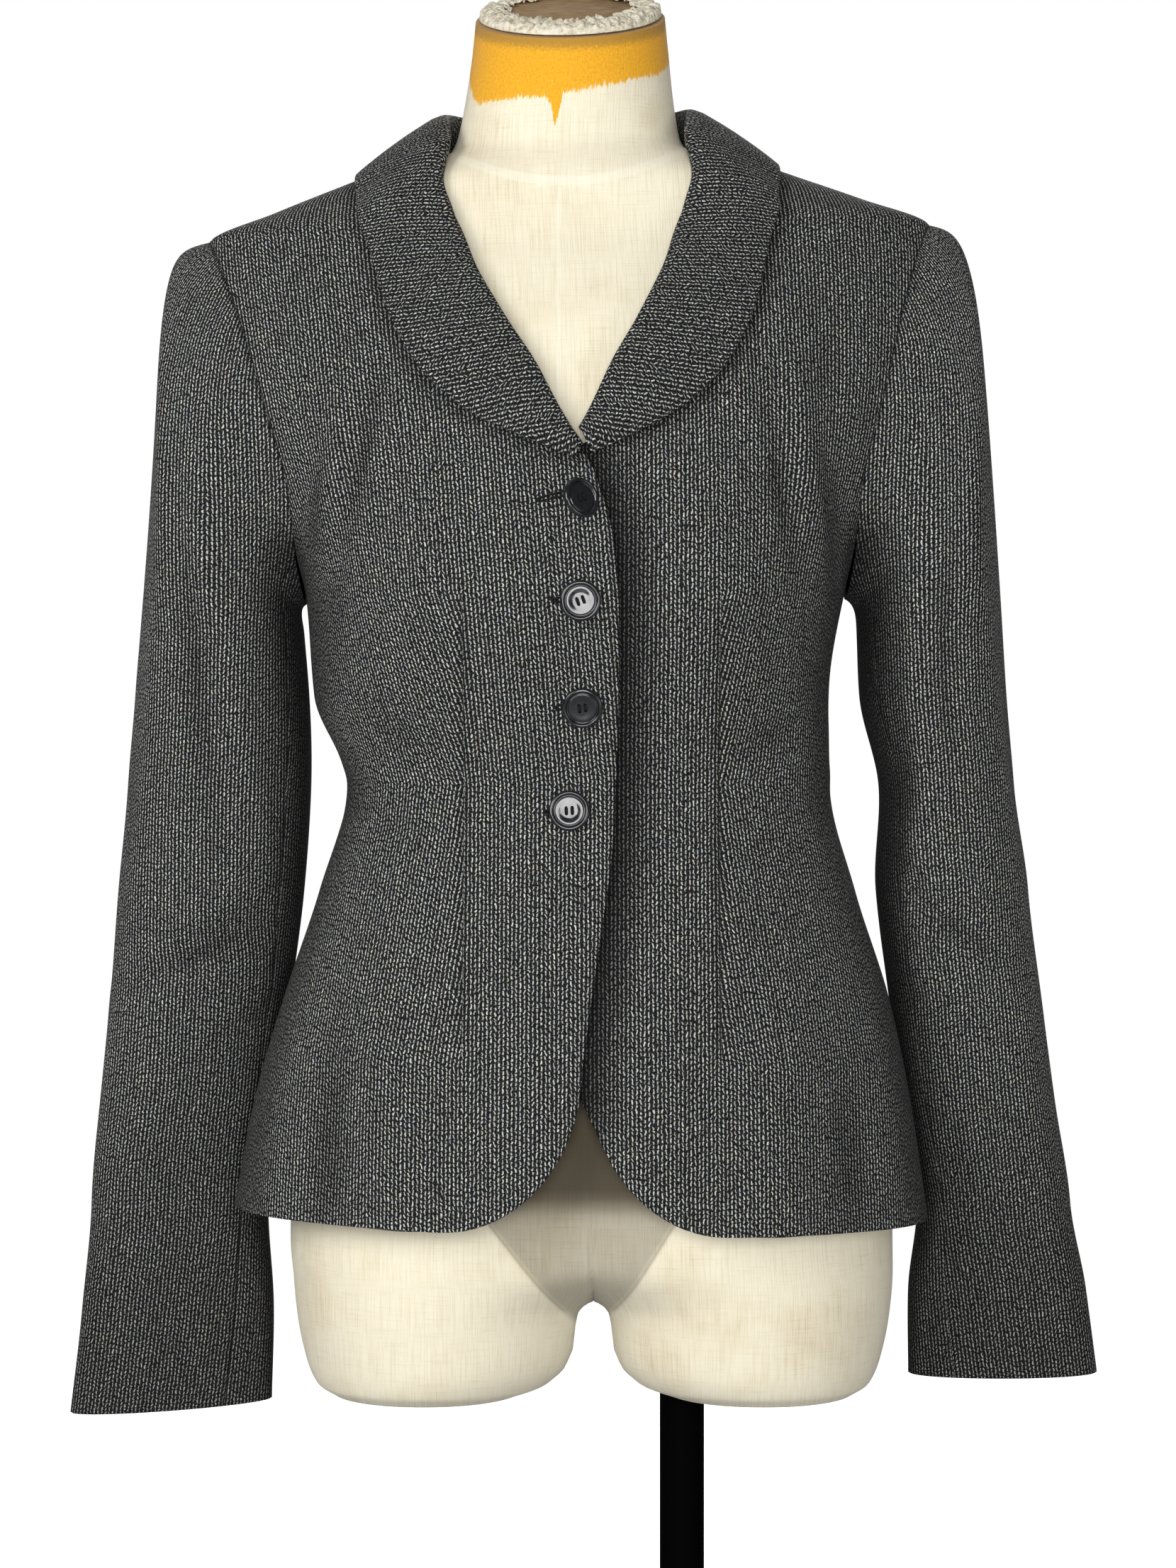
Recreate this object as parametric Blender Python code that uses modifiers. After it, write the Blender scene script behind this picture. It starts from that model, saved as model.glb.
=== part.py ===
"""A fitted wool blazer worn by a limbless dress form on a pole stand.

Metres, +Z up.  The blazer faces -Y, so +X is the wearer's left.  The origin is the middle of the base
plate's underside.  Heights in the tables are measured from the waist line.
"""

import math

import bmesh
import bpy
import numpy as np
from mathutils import Matrix, Vector

# Driving dimensions
WAIST = 0.800               # waist line above the floor
CLOTH = 0.0022              # wool with its interlining
COLLAR_CLOTH = 0.0024       # collar, two layers pressed together
SEAM_GAP = 0.0003           # between the edges of two pieces sewn together
LAP_LIFT = 0.0017           # each front's step away from the other where they lap
LAP_FADE = (0.020, 0.062)   # distances from the centre line between which that step fades out
HEM = -0.240                # hem of the blazer
UNDERARM = 0.105            # lowest point of the armhole
SHOULDER_TIP = 0.310        # highest point of the armhole
NECK_POINT = 0.3595         # where the shoulder seam meets the neck seam
BACK_NECK = 0.343           # neck seam at the centre back

CUTAWAY_WIDTH = 0.076       # rounded front corner, along the hem
CUTAWAY_HEIGHT = 0.089      # rounded front corner, up the front edge

ARMHOLE_REACH = 0.055       # half the armhole's depth from front to back
ARMHOLE_SKEW = 0.25         # how much the armhole is fuller below its middle

BUTTON_RADIUS = 0.0110
BUTTON_FOOT = 0.0092        # radius of a button's flat underside
BUTTON_HOLE = 0.0009        # radius of a thread hole
BUTTON_HOLE_SPACING = 0.0032

POLE_RADIUS = 0.0125
POLE_X = 0.060
POLE_DEPTH = 0.060          # how far the pole goes up into the form
POLE_CLEARANCE = 0.0004
BASE_RADIUS = 0.190
BASE_THICKNESS = 0.010
BASE_EDGE = 0.0025          # rounding of the base plate's rim
NECK_PLATE = 0.004
NECK_PLATE_MARGIN = 0.003   # neck's edge round the plate
FORM_FOOT = -0.342          # underside of the form's thighs
MIDDLE_PLANE = 1e-6         # how close to the middle plane counts as on it

RIGHT = -1                  # the wearer's right side, at -X
LEFT = 1

# Grid rows and columns of the cloth pieces
CUTAWAY_ROWS = 7
SIDE_ROWS = 13              # hem or cutaway to underarm
EDGE_ROWS = 5               # underarm to break
NECK_ROWS = 14              # break to neck point
CENTRE_BACK_ROWS = 8        # underarm to back neck
BACK_NECK_ROWS = 9          # centre back to neck point
FRONT_COLUMNS = 12
BACK_COLUMNS = 10
UPPER_SLEEVE_COLUMNS = 13
UNDER_SLEEVE_COLUMNS = 11
HEAD_ROWS = 8               # armhole to the first level section of a sleeve
ARM_ROWS = 13               # from there to the cuff
ARMHOLE_CROWD = 1.15        # rows of fronts and backs crowd towards the shoulder tip by this power

# Facets of the round pieces
FORM_AROUND = 32            # points round half of the form
FORM_BODY_LOOPS = 19
FORM_SHOULDER_LOOPS = 14
ROUND_SIDES = 32
BUTTON_SIDES = 20
DRILL_SIDES = 8
DRILL_LENGTH = 0.020
SOFT_EDGE = math.radians(50)    # sharper edges than this are shaded sharp


class Table:
    """Rows of numbers with named columns, read smoothly along the first column."""

    def __init__(self, columns, rows):
        self.columns = columns
        self.rows = np.array(rows, dtype=float)

    def column(self, name):
        return self.rows[:, self.columns.index(name)]

    def at(self, name, place):
        return smooth(self.rows[:, 0], self.column(name), place)


def smooth(knots, values, place):
    """A cubic through the values that never overshoots them."""
    place = np.asarray(place, dtype=float)
    step = np.diff(knots)
    slope = np.diff(values) / step
    rising = slope[:-1] * slope[1:] > 0
    total = np.where(rising, slope[:-1] + slope[1:], 1.0)
    inner = np.where(rising, 2 * slope[:-1] * slope[1:] / total, 0.0)
    tangent = np.concatenate(([slope[0]], inner, [slope[-1]]))
    cell = np.clip(np.searchsorted(knots, place) - 1, 0, len(step) - 1)
    t = np.clip((place - knots[cell]) / step[cell], 0.0, 1.0)
    start = (1 + 2 * t) * (1 - t) ** 2 * values[cell] + t * (1 - t) ** 2 * step[cell] * tangent[cell]
    end = t * t * (3 - 2 * t) * values[cell + 1] + t * t * (t - 1) * step[cell] * tangent[cell + 1]
    return start + end


def ease(low, high, value):
    """Runs smoothly from 0 at low to 1 at high."""
    t = np.clip((np.asarray(value, dtype=float) - low) / (high - low), 0.0, 1.0)
    return t * t * (3 - 2 * t)


# Level sections of the blazer's cloth.  The half widths are those of the wearer's right and left, front
# and back are depths from the middle, which leans back by lean and sways sideways by sway, and tilt is the
# rise for each metre towards the wearer's left.  Above the underarm the width is that of the section
# before the armhole is cut away.
BODY = Table(
    ("height", "right_width", "left_width", "front", "back", "sway", "lean", "tilt", "square"),
    (
        (-0.240, 0.1910, 0.1970, 0.137, 0.132, 0.0000, 0.000, -0.020, 2.05),
        (-0.180, 0.1795, 0.1880, 0.131, 0.130, 0.0000, 0.000, -0.016, 2.05),
        (-0.120, 0.1625, 0.1755, 0.122, 0.120, 0.0000, 0.000, -0.010, 2.10),
        (-0.060, 0.1430, 0.1565, 0.110, 0.105, 0.0000, 0.000, -0.004, 2.15),
        (0.000, 0.1275, 0.1420, 0.101, 0.093, 0.0000, 0.000, 0.000, 2.20),
        (0.050, 0.1460, 0.1415, 0.112, 0.099, 0.0000, 0.000, 0.004, 2.25),
        (0.105, 0.1500, 0.1500, 0.123, 0.107, 0.0000, 0.000, 0.010, 2.30),
        (0.130, 0.1605, 0.1605, 0.121, 0.109, 0.0000, 0.000, 0.012, 2.30),
        (0.170, 0.1757, 0.1757, 0.113, 0.109, 0.0000, 0.000, 0.015, 2.25),
        (0.210, 0.1942, 0.1942, 0.101, 0.107, -0.0005, 0.000, 0.018, 2.20),
        (0.250, 0.2065, 0.2065, 0.087, 0.100, -0.0015, 0.000, 0.021, 2.10),
        (0.280, 0.2100, 0.2100, 0.073, 0.088, -0.0025, 0.002, 0.023, 2.05),
        (0.310, 0.2025, 0.2025, 0.058, 0.072, -0.0035, 0.004, 0.024, 2.00),
        (0.325, 0.1665, 0.1665, 0.056, 0.068, -0.0040, 0.006, 0.024, 2.00),
        (0.340, 0.1260, 0.1260, 0.055, 0.065, -0.0045, 0.007, 0.024, 2.00),
        (0.350, 0.0990, 0.0990, 0.054, 0.062, -0.0045, 0.008, 0.024, 2.00),
        (0.3595, 0.0745, 0.0745, 0.053, 0.060, -0.0045, 0.010, 0.024, 2.00),
        (0.375, 0.0690, 0.0690, 0.052, 0.058, -0.0045, 0.010, 0.024, 2.00),
        (0.390, 0.0665, 0.0665, 0.051, 0.057, -0.0045, 0.010, 0.024, 2.00),
    ),
)

# Full places and hollows of the cloth, on both sides: across is the distance from the middle.
SWELLS = Table(
    ("across", "height", "half_across", "half_height", "rise"),
    (
        (0.084, 0.102, 0.046, 0.058, 0.0085),
        (0.118, 0.158, 0.014, 0.050, 0.0030),
        (0.146, 0.134, 0.014, 0.034, -0.0060),
    ),
)
SWELL_FADE = (0.05, 0.45)   # they fade out where the cloth turns to the side

# Inner edge of a front, from the top of the cutaway to the neck point: past is beyond the centre line.
FRONT_EDGE = Table(
    ("height", "past"),
    (
        (-0.151, 0.0040),
        (-0.090, 0.0125),
        (-0.035, 0.0200),
        (0.016, 0.0225),
        (0.060, 0.0235),
        (0.100, 0.0235),
        (0.133, 0.0200),
        (0.155, 0.0143),
        (0.1745, 0.0065),
        (0.190, -0.0140),
        (0.225, -0.0390),
        (0.260, -0.0570),
        (0.310, -0.0740),
        (0.3595, -0.0745),
    ),
)

# Collar stations: 0 is the break at the front edge, 1 the shoulder seam and 2 the centre back.  The roll
# is the folded top, the edge is the free outer edge; the lifts are above the middle of the panel under
# them, and behind is 1 past the shoulder seam.
COLLAR = Table(
    ("station", "roll_across", "roll_height", "edge_across", "edge_height", "edge_lift", "behind",
     "roll_lift"),
    (
        (0.00, -0.0060, 0.1760, -0.0050, 0.1725, 0.0042, 0, 0.0040),
        (0.05, -0.0005, 0.1850, 0.0060, 0.1755, 0.0042, 0, 0.0050),
        (0.12, 0.0085, 0.2000, 0.0290, 0.1855, 0.0042, 0, 0.0058),
        (0.24, 0.0210, 0.2260, 0.0540, 0.1985, 0.0042, 0, 0.0066),
        (0.37, 0.0360, 0.2510, 0.0800, 0.2220, 0.0042, 0, 0.0070),
        (0.52, 0.0510, 0.2790, 0.0990, 0.2560, 0.0042, 0, 0.0072),
        (0.69, 0.0635, 0.3130, 0.1095, 0.2960, 0.0046, 0, 0.0072),
        (0.86, 0.0685, 0.3500, 0.1135, 0.3260, 0.0056, 0, 0.0070),
        (1.00, 0.0675, 0.3800, 0.1135, 0.3446, 0.0056, 0, 0.0066),
        (1.25, 0.0600, 0.3830, 0.1040, 0.3380, 0.0048, 1, 0.0064),
        (1.50, 0.0450, 0.3830, 0.0760, 0.3270, 0.0042, 1, 0.0064),
        (1.75, 0.0225, 0.3820, 0.0380, 0.3210, 0.0042, 1, 0.0064),
        (2.00, 0.0000, 0.3815, 0.0000, 0.3190, 0.0042, 1, 0.0064),
    ),
)

# Across the collar from the neck seam to the free edge: place is 0 at the seam, 1 on the roll and 2 at
# the edge, and lift is a share of the roll's lift.
COLLAR_PROFILE = Table(
    ("place", "lift"),
    (
        (0.00, 0.00),
        (0.45, 0.10),
        (0.85, 0.22),
        (0.98, 0.46),
        (1.02, 0.80),
        (1.10, 1.00),
        (1.30, 1.00),
        (1.55, 1.00),
        (1.80, 1.00),
        (2.00, 1.00),
    ),
)
BREAK = 0.1745              # height where the collar's roll leaves the front edge
COLLAR_TIP = 0.022          # station where the right collar begins
COLLAR_START = {RIGHT: 1, LEFT: 2}          # row of the neck seam where each collar half begins
COLLAR_SLANT = {RIGHT: 0.0, LEFT: 0.026}    # how many stations sooner its free edge does
COLLAR_BOW = 0.0026         # how far the fall bows out between roll and edge
STAND_STEP = 0.0017         # stand's edge inside the neck seam where it turns up round the neck
STAND_STEP_FROM = 0.55      # station where that step begins

# Sleeve sections from below the armhole to the cuff: out and back place the middle, half_width is seen
# from the front, half_depth from the side, turn swings the inner side back in degrees.
SLEEVE_COLUMNS = ("height", "out", "back", "half_width", "half_depth", "turn")
SLEEVES = {
    RIGHT: Table(
        SLEEVE_COLUMNS,
        (
            (-0.358, 0.2330, 0.047, 0.0570, 0.0215, 12.0),
            (-0.300, 0.2295, 0.051, 0.0545, 0.0250, 15.0),
            (-0.240, 0.2285, 0.053, 0.0505, 0.0300, 18.0),
            (-0.180, 0.2225, 0.050, 0.0510, 0.0340, 18.0),
            (-0.120, 0.2150, 0.039, 0.0510, 0.0375, 13.0),
            (-0.060, 0.2075, 0.022, 0.0520, 0.0415, 5.0),
            (0.000, 0.2020, 0.013, 0.0510, 0.0460, 0.0),
            (0.050, 0.1998, 0.006, 0.0480, 0.0520, 0.0),
            (0.085, 0.1995, 0.003, 0.0450, 0.0555, 0.0),
        ),
    ),
    LEFT: Table(
        SLEEVE_COLUMNS,
        (
            (-0.338, 0.2450, 0.040, 0.0530, 0.0245, 10.0),
            (-0.290, 0.2420, 0.042, 0.0500, 0.0280, 12.0),
            (-0.240, 0.2400, 0.042, 0.0430, 0.0350, 12.0),
            (-0.180, 0.2310, 0.038, 0.0425, 0.0400, 10.0),
            (-0.120, 0.2225, 0.031, 0.0425, 0.0430, 6.0),
            (-0.060, 0.2145, 0.022, 0.0425, 0.0460, 2.0),
            (0.000, 0.2105, 0.013, 0.0375, 0.0510, 0.0),
            (0.050, 0.2022, 0.006, 0.0405, 0.0550, 0.0),
            (0.085, 0.2000, 0.003, 0.0400, 0.0575, 0.0),
        ),
    ),
}
CUFF_TILT = {RIGHT: -0.045, LEFT: 0.025}    # rise of the cuff for each metre away from the body
CUFF_TILT_REACH = 0.16                      # how far up the sleeve that tilt is felt
FOREARM_SEAM = (0.405, 0.330)               # share of the way round, at the armhole and at the cuff
HINDARM_SEAM = (0.755, 0.800)
SLEEVE_SEAM_STEP = 0.0014                   # sleeve's edge outside the armhole's edge
UNDERARM_STEP = 0.0030                      # the same at the underarm, where the cloth turns down

# Sleeve head: how it leaves the armhole and how full it is.  The armpit and the crown are the shares of the
# way round, either side of the underarm and of the shoulder tip, where their own values are felt.
HEAD_ARMPIT = 0.25
HEAD_CROWN = 0.22
HEAD_FORWARD = 0.35                         # lean of the cloth to the front or back as it leaves
HEAD_FALL = {"all": 0.10, "armpit": 0.40, "crown": 0.05}
HEAD_ONWARD = 0.75                          # how far it follows on from the panel
HEAD_REACH = {"all": 0.36, "crown": -0.22}  # share of the head's length that it runs straight out
HEAD_RISE = {"all": 0.40, "crown": 0.36}    # share that it runs straight up from the sleeve's first section
UNDERARM_STEP_FROM = 0.30                   # where in the armpit the wider step begins
UNDERARM_STEP_FULL = 0.90

# Level sections of the dress form: legs is the distance from the middle to a thigh's own middle.
FORM_COLUMNS = ("height", "half_width", "front", "back", "sway", "lean", "legs", "square")
FORM_TRUNK = (
    (-0.342, 0.1470, 0.066, 0.070, 0.0100, 0.004, 0.0935, 2.1),
    (-0.336, 0.1560, 0.077, 0.081, 0.0100, 0.004, 0.0900, 2.1),
    (-0.322, 0.1620, 0.085, 0.089, 0.0100, 0.004, 0.0865, 2.1),
    (-0.300, 0.1665, 0.091, 0.095, 0.0100, 0.003, 0.0850, 2.1),
    (-0.280, 0.1685, 0.096, 0.101, 0.0100, 0.002, 0.0790, 2.1),
    (-0.255, 0.1695, 0.102, 0.108, 0.0090, 0.000, 0.0560, 2.1),
    (-0.225, 0.1690, 0.107, 0.115, 0.0090, 0.000, 0.0220, 2.1),
    (-0.190, 0.1660, 0.110, 0.119, 0.0080, 0.000, 0.0000, 2.1),
    (-0.120, 0.1530, 0.107, 0.110, 0.0080, 0.000, 0.0000, 2.1),
    (-0.060, 0.1340, 0.098, 0.096, 0.0070, 0.000, 0.0000, 2.1),
    (0.000, 0.1230, 0.090, 0.084, 0.0065, 0.000, 0.0000, 2.1),
    (0.050, 0.1310, 0.100, 0.090, 0.0020, 0.000, 0.0000, 2.2),
    (0.105, 0.1420, 0.113, 0.099, 0.0000, 0.000, 0.0000, 2.2),
    (0.150, 0.1480, 0.112, 0.103, 0.0000, 0.000, 0.0000, 2.2),
    (0.200, 0.1600, 0.099, 0.102, -0.0005, 0.000, 0.0000, 2.2),
    (0.250, 0.1740, 0.082, 0.095, -0.0015, 0.000, 0.0000, 2.1),
    (0.285, 0.1860, 0.066, 0.081, -0.0025, 0.002, 0.0000, 2.0),
)
FORM_NECK = (
    (0.349, 0.0880, 0.0480, 0.0580, -0.0045, 0.008, 0.0000, 2.0),
    (0.360, 0.0650, 0.0450, 0.0560, -0.0045, 0.010, 0.0000, 2.0),
    (0.375, 0.0608, 0.0445, 0.0550, -0.0040, 0.010, 0.0000, 2.0),
    (0.395, 0.0575, 0.0445, 0.0540, -0.0035, 0.009, 0.0000, 2.0),
    (0.415, 0.0550, 0.0440, 0.0525, -0.0030, 0.007, 0.0000, 2.0),
    (0.430, 0.0535, 0.0440, 0.0510, -0.0030, 0.005, 0.0000, 2.0),
)
SHOULDER_EASE = 0.0023      # from the middle of the cloth to the form under it
ARM_PLATE_EASE = 0.010      # from the shoulder tip to the end of the form's shoulder
SHOULDER_HEIGHTS = (SHOULDER_TIP, 0.325, 0.340)


def shoulder_sections():
    """The form's sections under the shoulder seam, each a little inside the cloth's."""
    rows = []
    for height in SHOULDER_HEIGHTS:
        width, front, back, sway, lean = (float(BODY.at(name, height))
                                          for name in ("left_width", "front", "back", "sway", "lean"))
        if height == SHOULDER_TIP:
            width -= ARM_PLATE_EASE
        rows.append((height - SHOULDER_EASE, width, front - SHOULDER_EASE, back - SHOULDER_EASE,
                     sway, lean, 0.0, 2.0))
    return tuple(rows)


FORM = Table(FORM_COLUMNS, FORM_TRUNK + shoulder_sections() + FORM_NECK)
FORM_BUST = {"across": 0.078, "height": 0.100, "half_across": 0.044, "half_height": 0.055, "rise": 0.0060}
NECK_TILT = 0.42            # slope of the neck's cut top, which falls to the front
NECK_TILT_FROM = 0.365      # height where the slope begins

# Buttons down the centre front: height and across of each, its seat above the curve of the cloth, and how
# far it tips to the wearer's left.
BUTTONS = Table(
    ("height", "across", "seat", "tip"),
    (
        (-0.015, -0.0030, 0.0010, 0.0),
        (0.042, 0.0040, 0.0006, 0.0),
        (0.098, 0.0030, 0.0004, 4.0),
        (0.150, 0.0025, 0.0004, 38.0),
    ),
)

# Turned profile of a button, from the middle of its dished top over the rim to its underside.
BUTTON_PROFILE = (
    (0.0000, 0.0019),
    (0.0060, 0.0020),
    (0.0076, 0.0036),
    (0.0094, 0.0039),
    (0.0107, 0.0030),
    (BUTTON_RADIUS, 0.0014),
    (BUTTON_FOOT, 0.0000),
    (0.0000, 0.0000),
)


def half_width(turn, height):
    """Half width of the blazer's section on the side that a turn lies on."""
    return np.where(np.sin(turn) < 0, BODY.at("right_width", height), BODY.at("left_width", height))


def swell(across, height, facing):
    """How far the cloth stands out at its full places, on the front only."""
    total = 0.0
    for at_across, at_height, half_across, half_height, rise in SWELLS.rows:
        far = ((np.abs(across) - at_across) / half_across) ** 2 + ((height - at_height) / half_height) ** 2
        total = total + rise * np.exp(-far)
    return total * ease(*SWELL_FADE, facing)


def cloth_middle(turn, height):
    """The middle of the blazer's cloth; turn is 0 in front, a quarter at the wearer's left, half behind."""
    height = np.asarray(height, dtype=float)
    sine, cosine = np.sin(turn), np.cos(turn)
    power = 2.0 / BODY.at("square", height)
    across = half_width(turn, height) * np.sign(sine) * np.abs(sine) ** power
    depth = np.where(cosine > 0, BODY.at("front", height), BODY.at("back", height))
    x = BODY.at("sway", height) + across
    y = BODY.at("lean", height) - depth * np.sign(cosine) * np.abs(cosine) ** power
    y = y - swell(across, height, cosine)
    z = WAIST + height + BODY.at("tilt", height) * x
    return np.stack(np.broadcast_arrays(x, y, z), axis=-1)


def cloth_normal(turn, height):
    """Outward direction of the cloth."""
    small = 0.0005
    around = cloth_middle(turn + small, height) - cloth_middle(turn - small, height)
    upward = cloth_middle(turn, height + small) - cloth_middle(turn, height - small)
    normal = np.cross(around, upward)
    return normal / np.linalg.norm(normal, axis=-1, keepdims=True)


def cloth_point(turn, height, lift):
    """A point lifted off the middle of the cloth."""
    return cloth_middle(turn, height) + cloth_normal(turn, height) * np.asarray(lift)[..., None]


def turn_at(side, across, height, behind=0):
    """Turn to a point that lies across from the middle, towards its own side, in front or behind."""
    own = BODY.at("right_width" if side == RIGHT else "left_width", height)
    other = BODY.at("left_width" if side == RIGHT else "right_width", height)
    reach = np.clip(across / np.where(np.asarray(across) < 0, other, own), -1.0, 1.0)
    turn = np.sign(reach) * np.arcsin(np.abs(reach) ** (BODY.at("square", height) / 2))
    return side * np.where(np.asarray(behind) > 0.5, math.pi - turn, turn)


def lap_lift(side, across):
    """Step out of the right front, or in of the left, near the centre line."""
    outer = 1 if side == RIGHT else -1
    return outer * LAP_LIFT * (1 - ease(*LAP_FADE, across))


def armhole(side, angle, behind):
    """Turn and height of the armhole: angle is 0 at the underarm and half a turn at the shoulder tip."""
    middle = (UNDERARM + SHOULDER_TIP) / 2
    height = middle - (SHOULDER_TIP - UNDERARM) / 2 * np.cos(angle)
    reach = ARMHOLE_REACH * np.sin(angle) * (1 + ARMHOLE_SKEW * np.cos(angle))
    depth = BODY.at("back", height) if behind else BODY.at("front", height)
    cosine = np.clip(reach / depth, 0.0, 1.0) ** (BODY.at("square", height) / 2)
    turn = np.arccos(cosine)
    return side * (math.pi - turn if behind else turn), height


def spread(curve, low, high, count, crowd=1.0):
    """Places from low to high along a curve, evenly spaced or crowded towards its end."""
    samples = 400
    places = np.linspace(low, high, samples)
    points = curve(places)
    length = np.concatenate(([0.0], np.cumsum(np.linalg.norm(np.diff(points, axis=0), axis=1))))
    shares = 1 - (1 - np.linspace(0.0, 1.0, count)) ** crowd
    return np.interp(shares * length[-1], length, places)


def front_edge(side, height):
    """Turn to a front's inner edge."""
    return turn_at(side, -FRONT_EDGE.at("past", height), height)


def seam_heights(side):
    """Heights on the front's neck seam, from the break to the neck point."""
    tip = BREAK + COLLAR_TIP * (NECK_POINT - BREAK)
    above = spread(lambda heights: cloth_middle(front_edge(side, heights), heights),
                   tip, NECK_POINT, NECK_ROWS - 1)
    return np.concatenate(([BREAK], above))


def front_rows(side):
    """Turn and height of a front's inner and outer end on each row, from the hem to the shoulder seam."""
    edge_top = HEM + CUTAWAY_HEIGHT
    edge_past = float(FRONT_EDGE.at("past", edge_top))
    side_seam = side * math.pi / 2
    rows = []
    for angle in np.radians(np.linspace(0, 90, CUTAWAY_ROWS)):
        height = edge_top - CUTAWAY_HEIGHT * math.cos(angle)
        past = edge_past - CUTAWAY_WIDTH * (1 - math.sin(angle))
        rows.append((turn_at(side, -past, height), height, side_seam, height))
    for height in np.linspace(edge_top, UNDERARM, SIDE_ROWS)[1:]:
        rows.append((front_edge(side, height), height, side_seam, height))
    inner = np.concatenate((np.linspace(UNDERARM, BREAK, EDGE_ROWS)[1:], seam_heights(side)[1:]))
    angles = spread(lambda angle: cloth_middle(*armhole(side, angle, behind=False)),
                    0.0, math.pi, len(inner) + 1, crowd=ARMHOLE_CROWD)[1:]
    for height, angle in zip(inner, angles):
        rows.append((front_edge(side, height), height, *armhole(side, angle, behind=False)))
    return np.array(rows, dtype=float)


def back_neck(side, share):
    """Turn and height up the centre back for shares 0 to 1, and round the neck seam for 1 to 2."""
    share = np.asarray(share, dtype=float)
    up = UNDERARM + (BACK_NECK - UNDERARM) * share
    round_neck = BACK_NECK + (NECK_POINT - BACK_NECK) * ease(0.0, 1.0, share - 1)
    turn = math.pi - math.pi / 2 * np.clip(share - 1, 0.0, 1.0)
    return side * turn, np.where(share < 1, up, round_neck)


def back_rows(side):
    """The same for a back half, whose inner end is the centre back and the neck seam."""
    centre_back = side * math.pi
    side_seam = side * math.pi / 2
    rows = [(centre_back, height, side_seam, height) for height in np.linspace(HEM, UNDERARM, SIDE_ROWS)]
    up_the_back = np.linspace(0, 1, CENTRE_BACK_ROWS)[1:]
    shares = np.concatenate((up_the_back, np.linspace(1, 2, BACK_NECK_ROWS)[1:]))
    angles = spread(lambda angle: cloth_middle(*armhole(side, angle, behind=True)),
                    0.0, math.pi, len(shares) + 1, crowd=ARMHOLE_CROWD)[1:]
    for share, angle in zip(shares, angles):
        rows.append((*back_neck(side, share), *armhole(side, angle, behind=True)))
    return np.array(rows, dtype=float)


def panel_points(rows, columns, side, is_front):
    """Points of a body panel, row by row."""
    share = np.linspace(0.0, 1.0, columns)
    turn = rows[:, None, 0] + (rows[:, None, 2] - rows[:, None, 0]) * share
    height = rows[:, None, 1] + (rows[:, None, 3] - rows[:, None, 1]) * share
    points = cloth_middle(turn, height)
    if is_front:
        across = side * (points[..., 0] - BODY.at("sway", height))
        points = cloth_point(turn, height, lap_lift(side, across))
    return points


def draw_in(points, edges, distance):
    """Pull the named edges of a grid towards its inside, to leave a gap at the seam."""
    points = points.copy()
    for row, neighbour in (("first_row", 1), ("last_row", -2)):
        if row in edges:
            index = 0 if row == "first_row" else -1
            step = points[neighbour] - points[index]
            points[index] += step / np.linalg.norm(step, axis=-1, keepdims=True) * distance
    for column, neighbour in (("first_column", 1), ("last_column", -2)):
        if column in edges:
            index = 0 if column == "first_column" else -1
            step = points[:, neighbour] - points[:, index]
            points[:, index] += step / np.linalg.norm(step, axis=-1, keepdims=True) * distance
    return points


def collar_line(side, line, stations):
    """Turn and height of the collar's roll or edge at the given stations."""
    heights = COLLAR.column(line + "_height")
    turns = turn_at(side, COLLAR.column(line + "_across"), heights, COLLAR.column("behind"))
    station = COLLAR.column("station")
    return smooth(station, turns, stations), smooth(station, heights, stations)


def collar_seam(side, stations):
    """Turn and height of the neck seam: up the front's inner edge, then round the back neck."""
    front_height = BREAK + (NECK_POINT - BREAK) * np.minimum(stations, 1.0)
    front_turn = front_edge(side, front_height)
    back_turn, back_height = back_neck(side, 3.0 - np.maximum(stations, 1.0))
    behind = stations > 1.0
    return np.where(behind, back_turn, front_turn), np.where(behind, back_height, front_height)


def across_at(side, line):
    """Distance from the section's middle, towards its own side, of a line of turns and heights."""
    turns, heights = line
    return side * (cloth_middle(turns, heights)[..., 0] - BODY.at("sway", heights))


def collar_column(side, stations, place, share):
    """Points along the collar at one place across it, from the first station to the centre back."""
    roll = collar_line(side, "roll", stations)
    edge = collar_line(side, "edge", stations)
    seam = collar_seam(side, stations)
    in_front = stations < 1.0
    seam_lift = lap_lift(side, across_at(side, seam)) * in_front
    roll_normal = cloth_normal(*roll)
    raised = cloth_point(*roll, seam_lift) + roll_normal * (COLLAR.at("roll_lift", stations) * share)[:, None]
    if place <= 1.0:
        seam_point = cloth_point(*seam, seam_lift)
        inward = raised - seam_point
        inward /= np.linalg.norm(inward, axis=-1, keepdims=True)
        seam_point = seam_point + inward * (STAND_STEP * ease(STAND_STEP_FROM, 1.0, stations))[:, None]
        return seam_point + (raised - seam_point) * place
    fall = place - 1.0
    edge_lift = COLLAR.at("edge_lift", stations) + lap_lift(side, across_at(side, edge)) * in_front
    edge_point = cloth_point(*edge, edge_lift)
    normal = roll_normal * (1 - fall) + cloth_normal(*edge) * fall
    return raised + (edge_point - raised) * fall + normal * COLLAR_BOW * 4 * fall * (1 - fall)


def collar_points(side, stations):
    """Points of one half of the collar: a row for each station, from the neck seam to the edge."""
    columns = []
    for place, share in COLLAR_PROFILE.rows:
        own = stations.copy()
        own[0] -= COLLAR_SLANT[side] * ease(0.0, 2.0, place)
        columns.append(collar_column(side, own, place, share))
    return np.stack(columns, axis=1)


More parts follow.
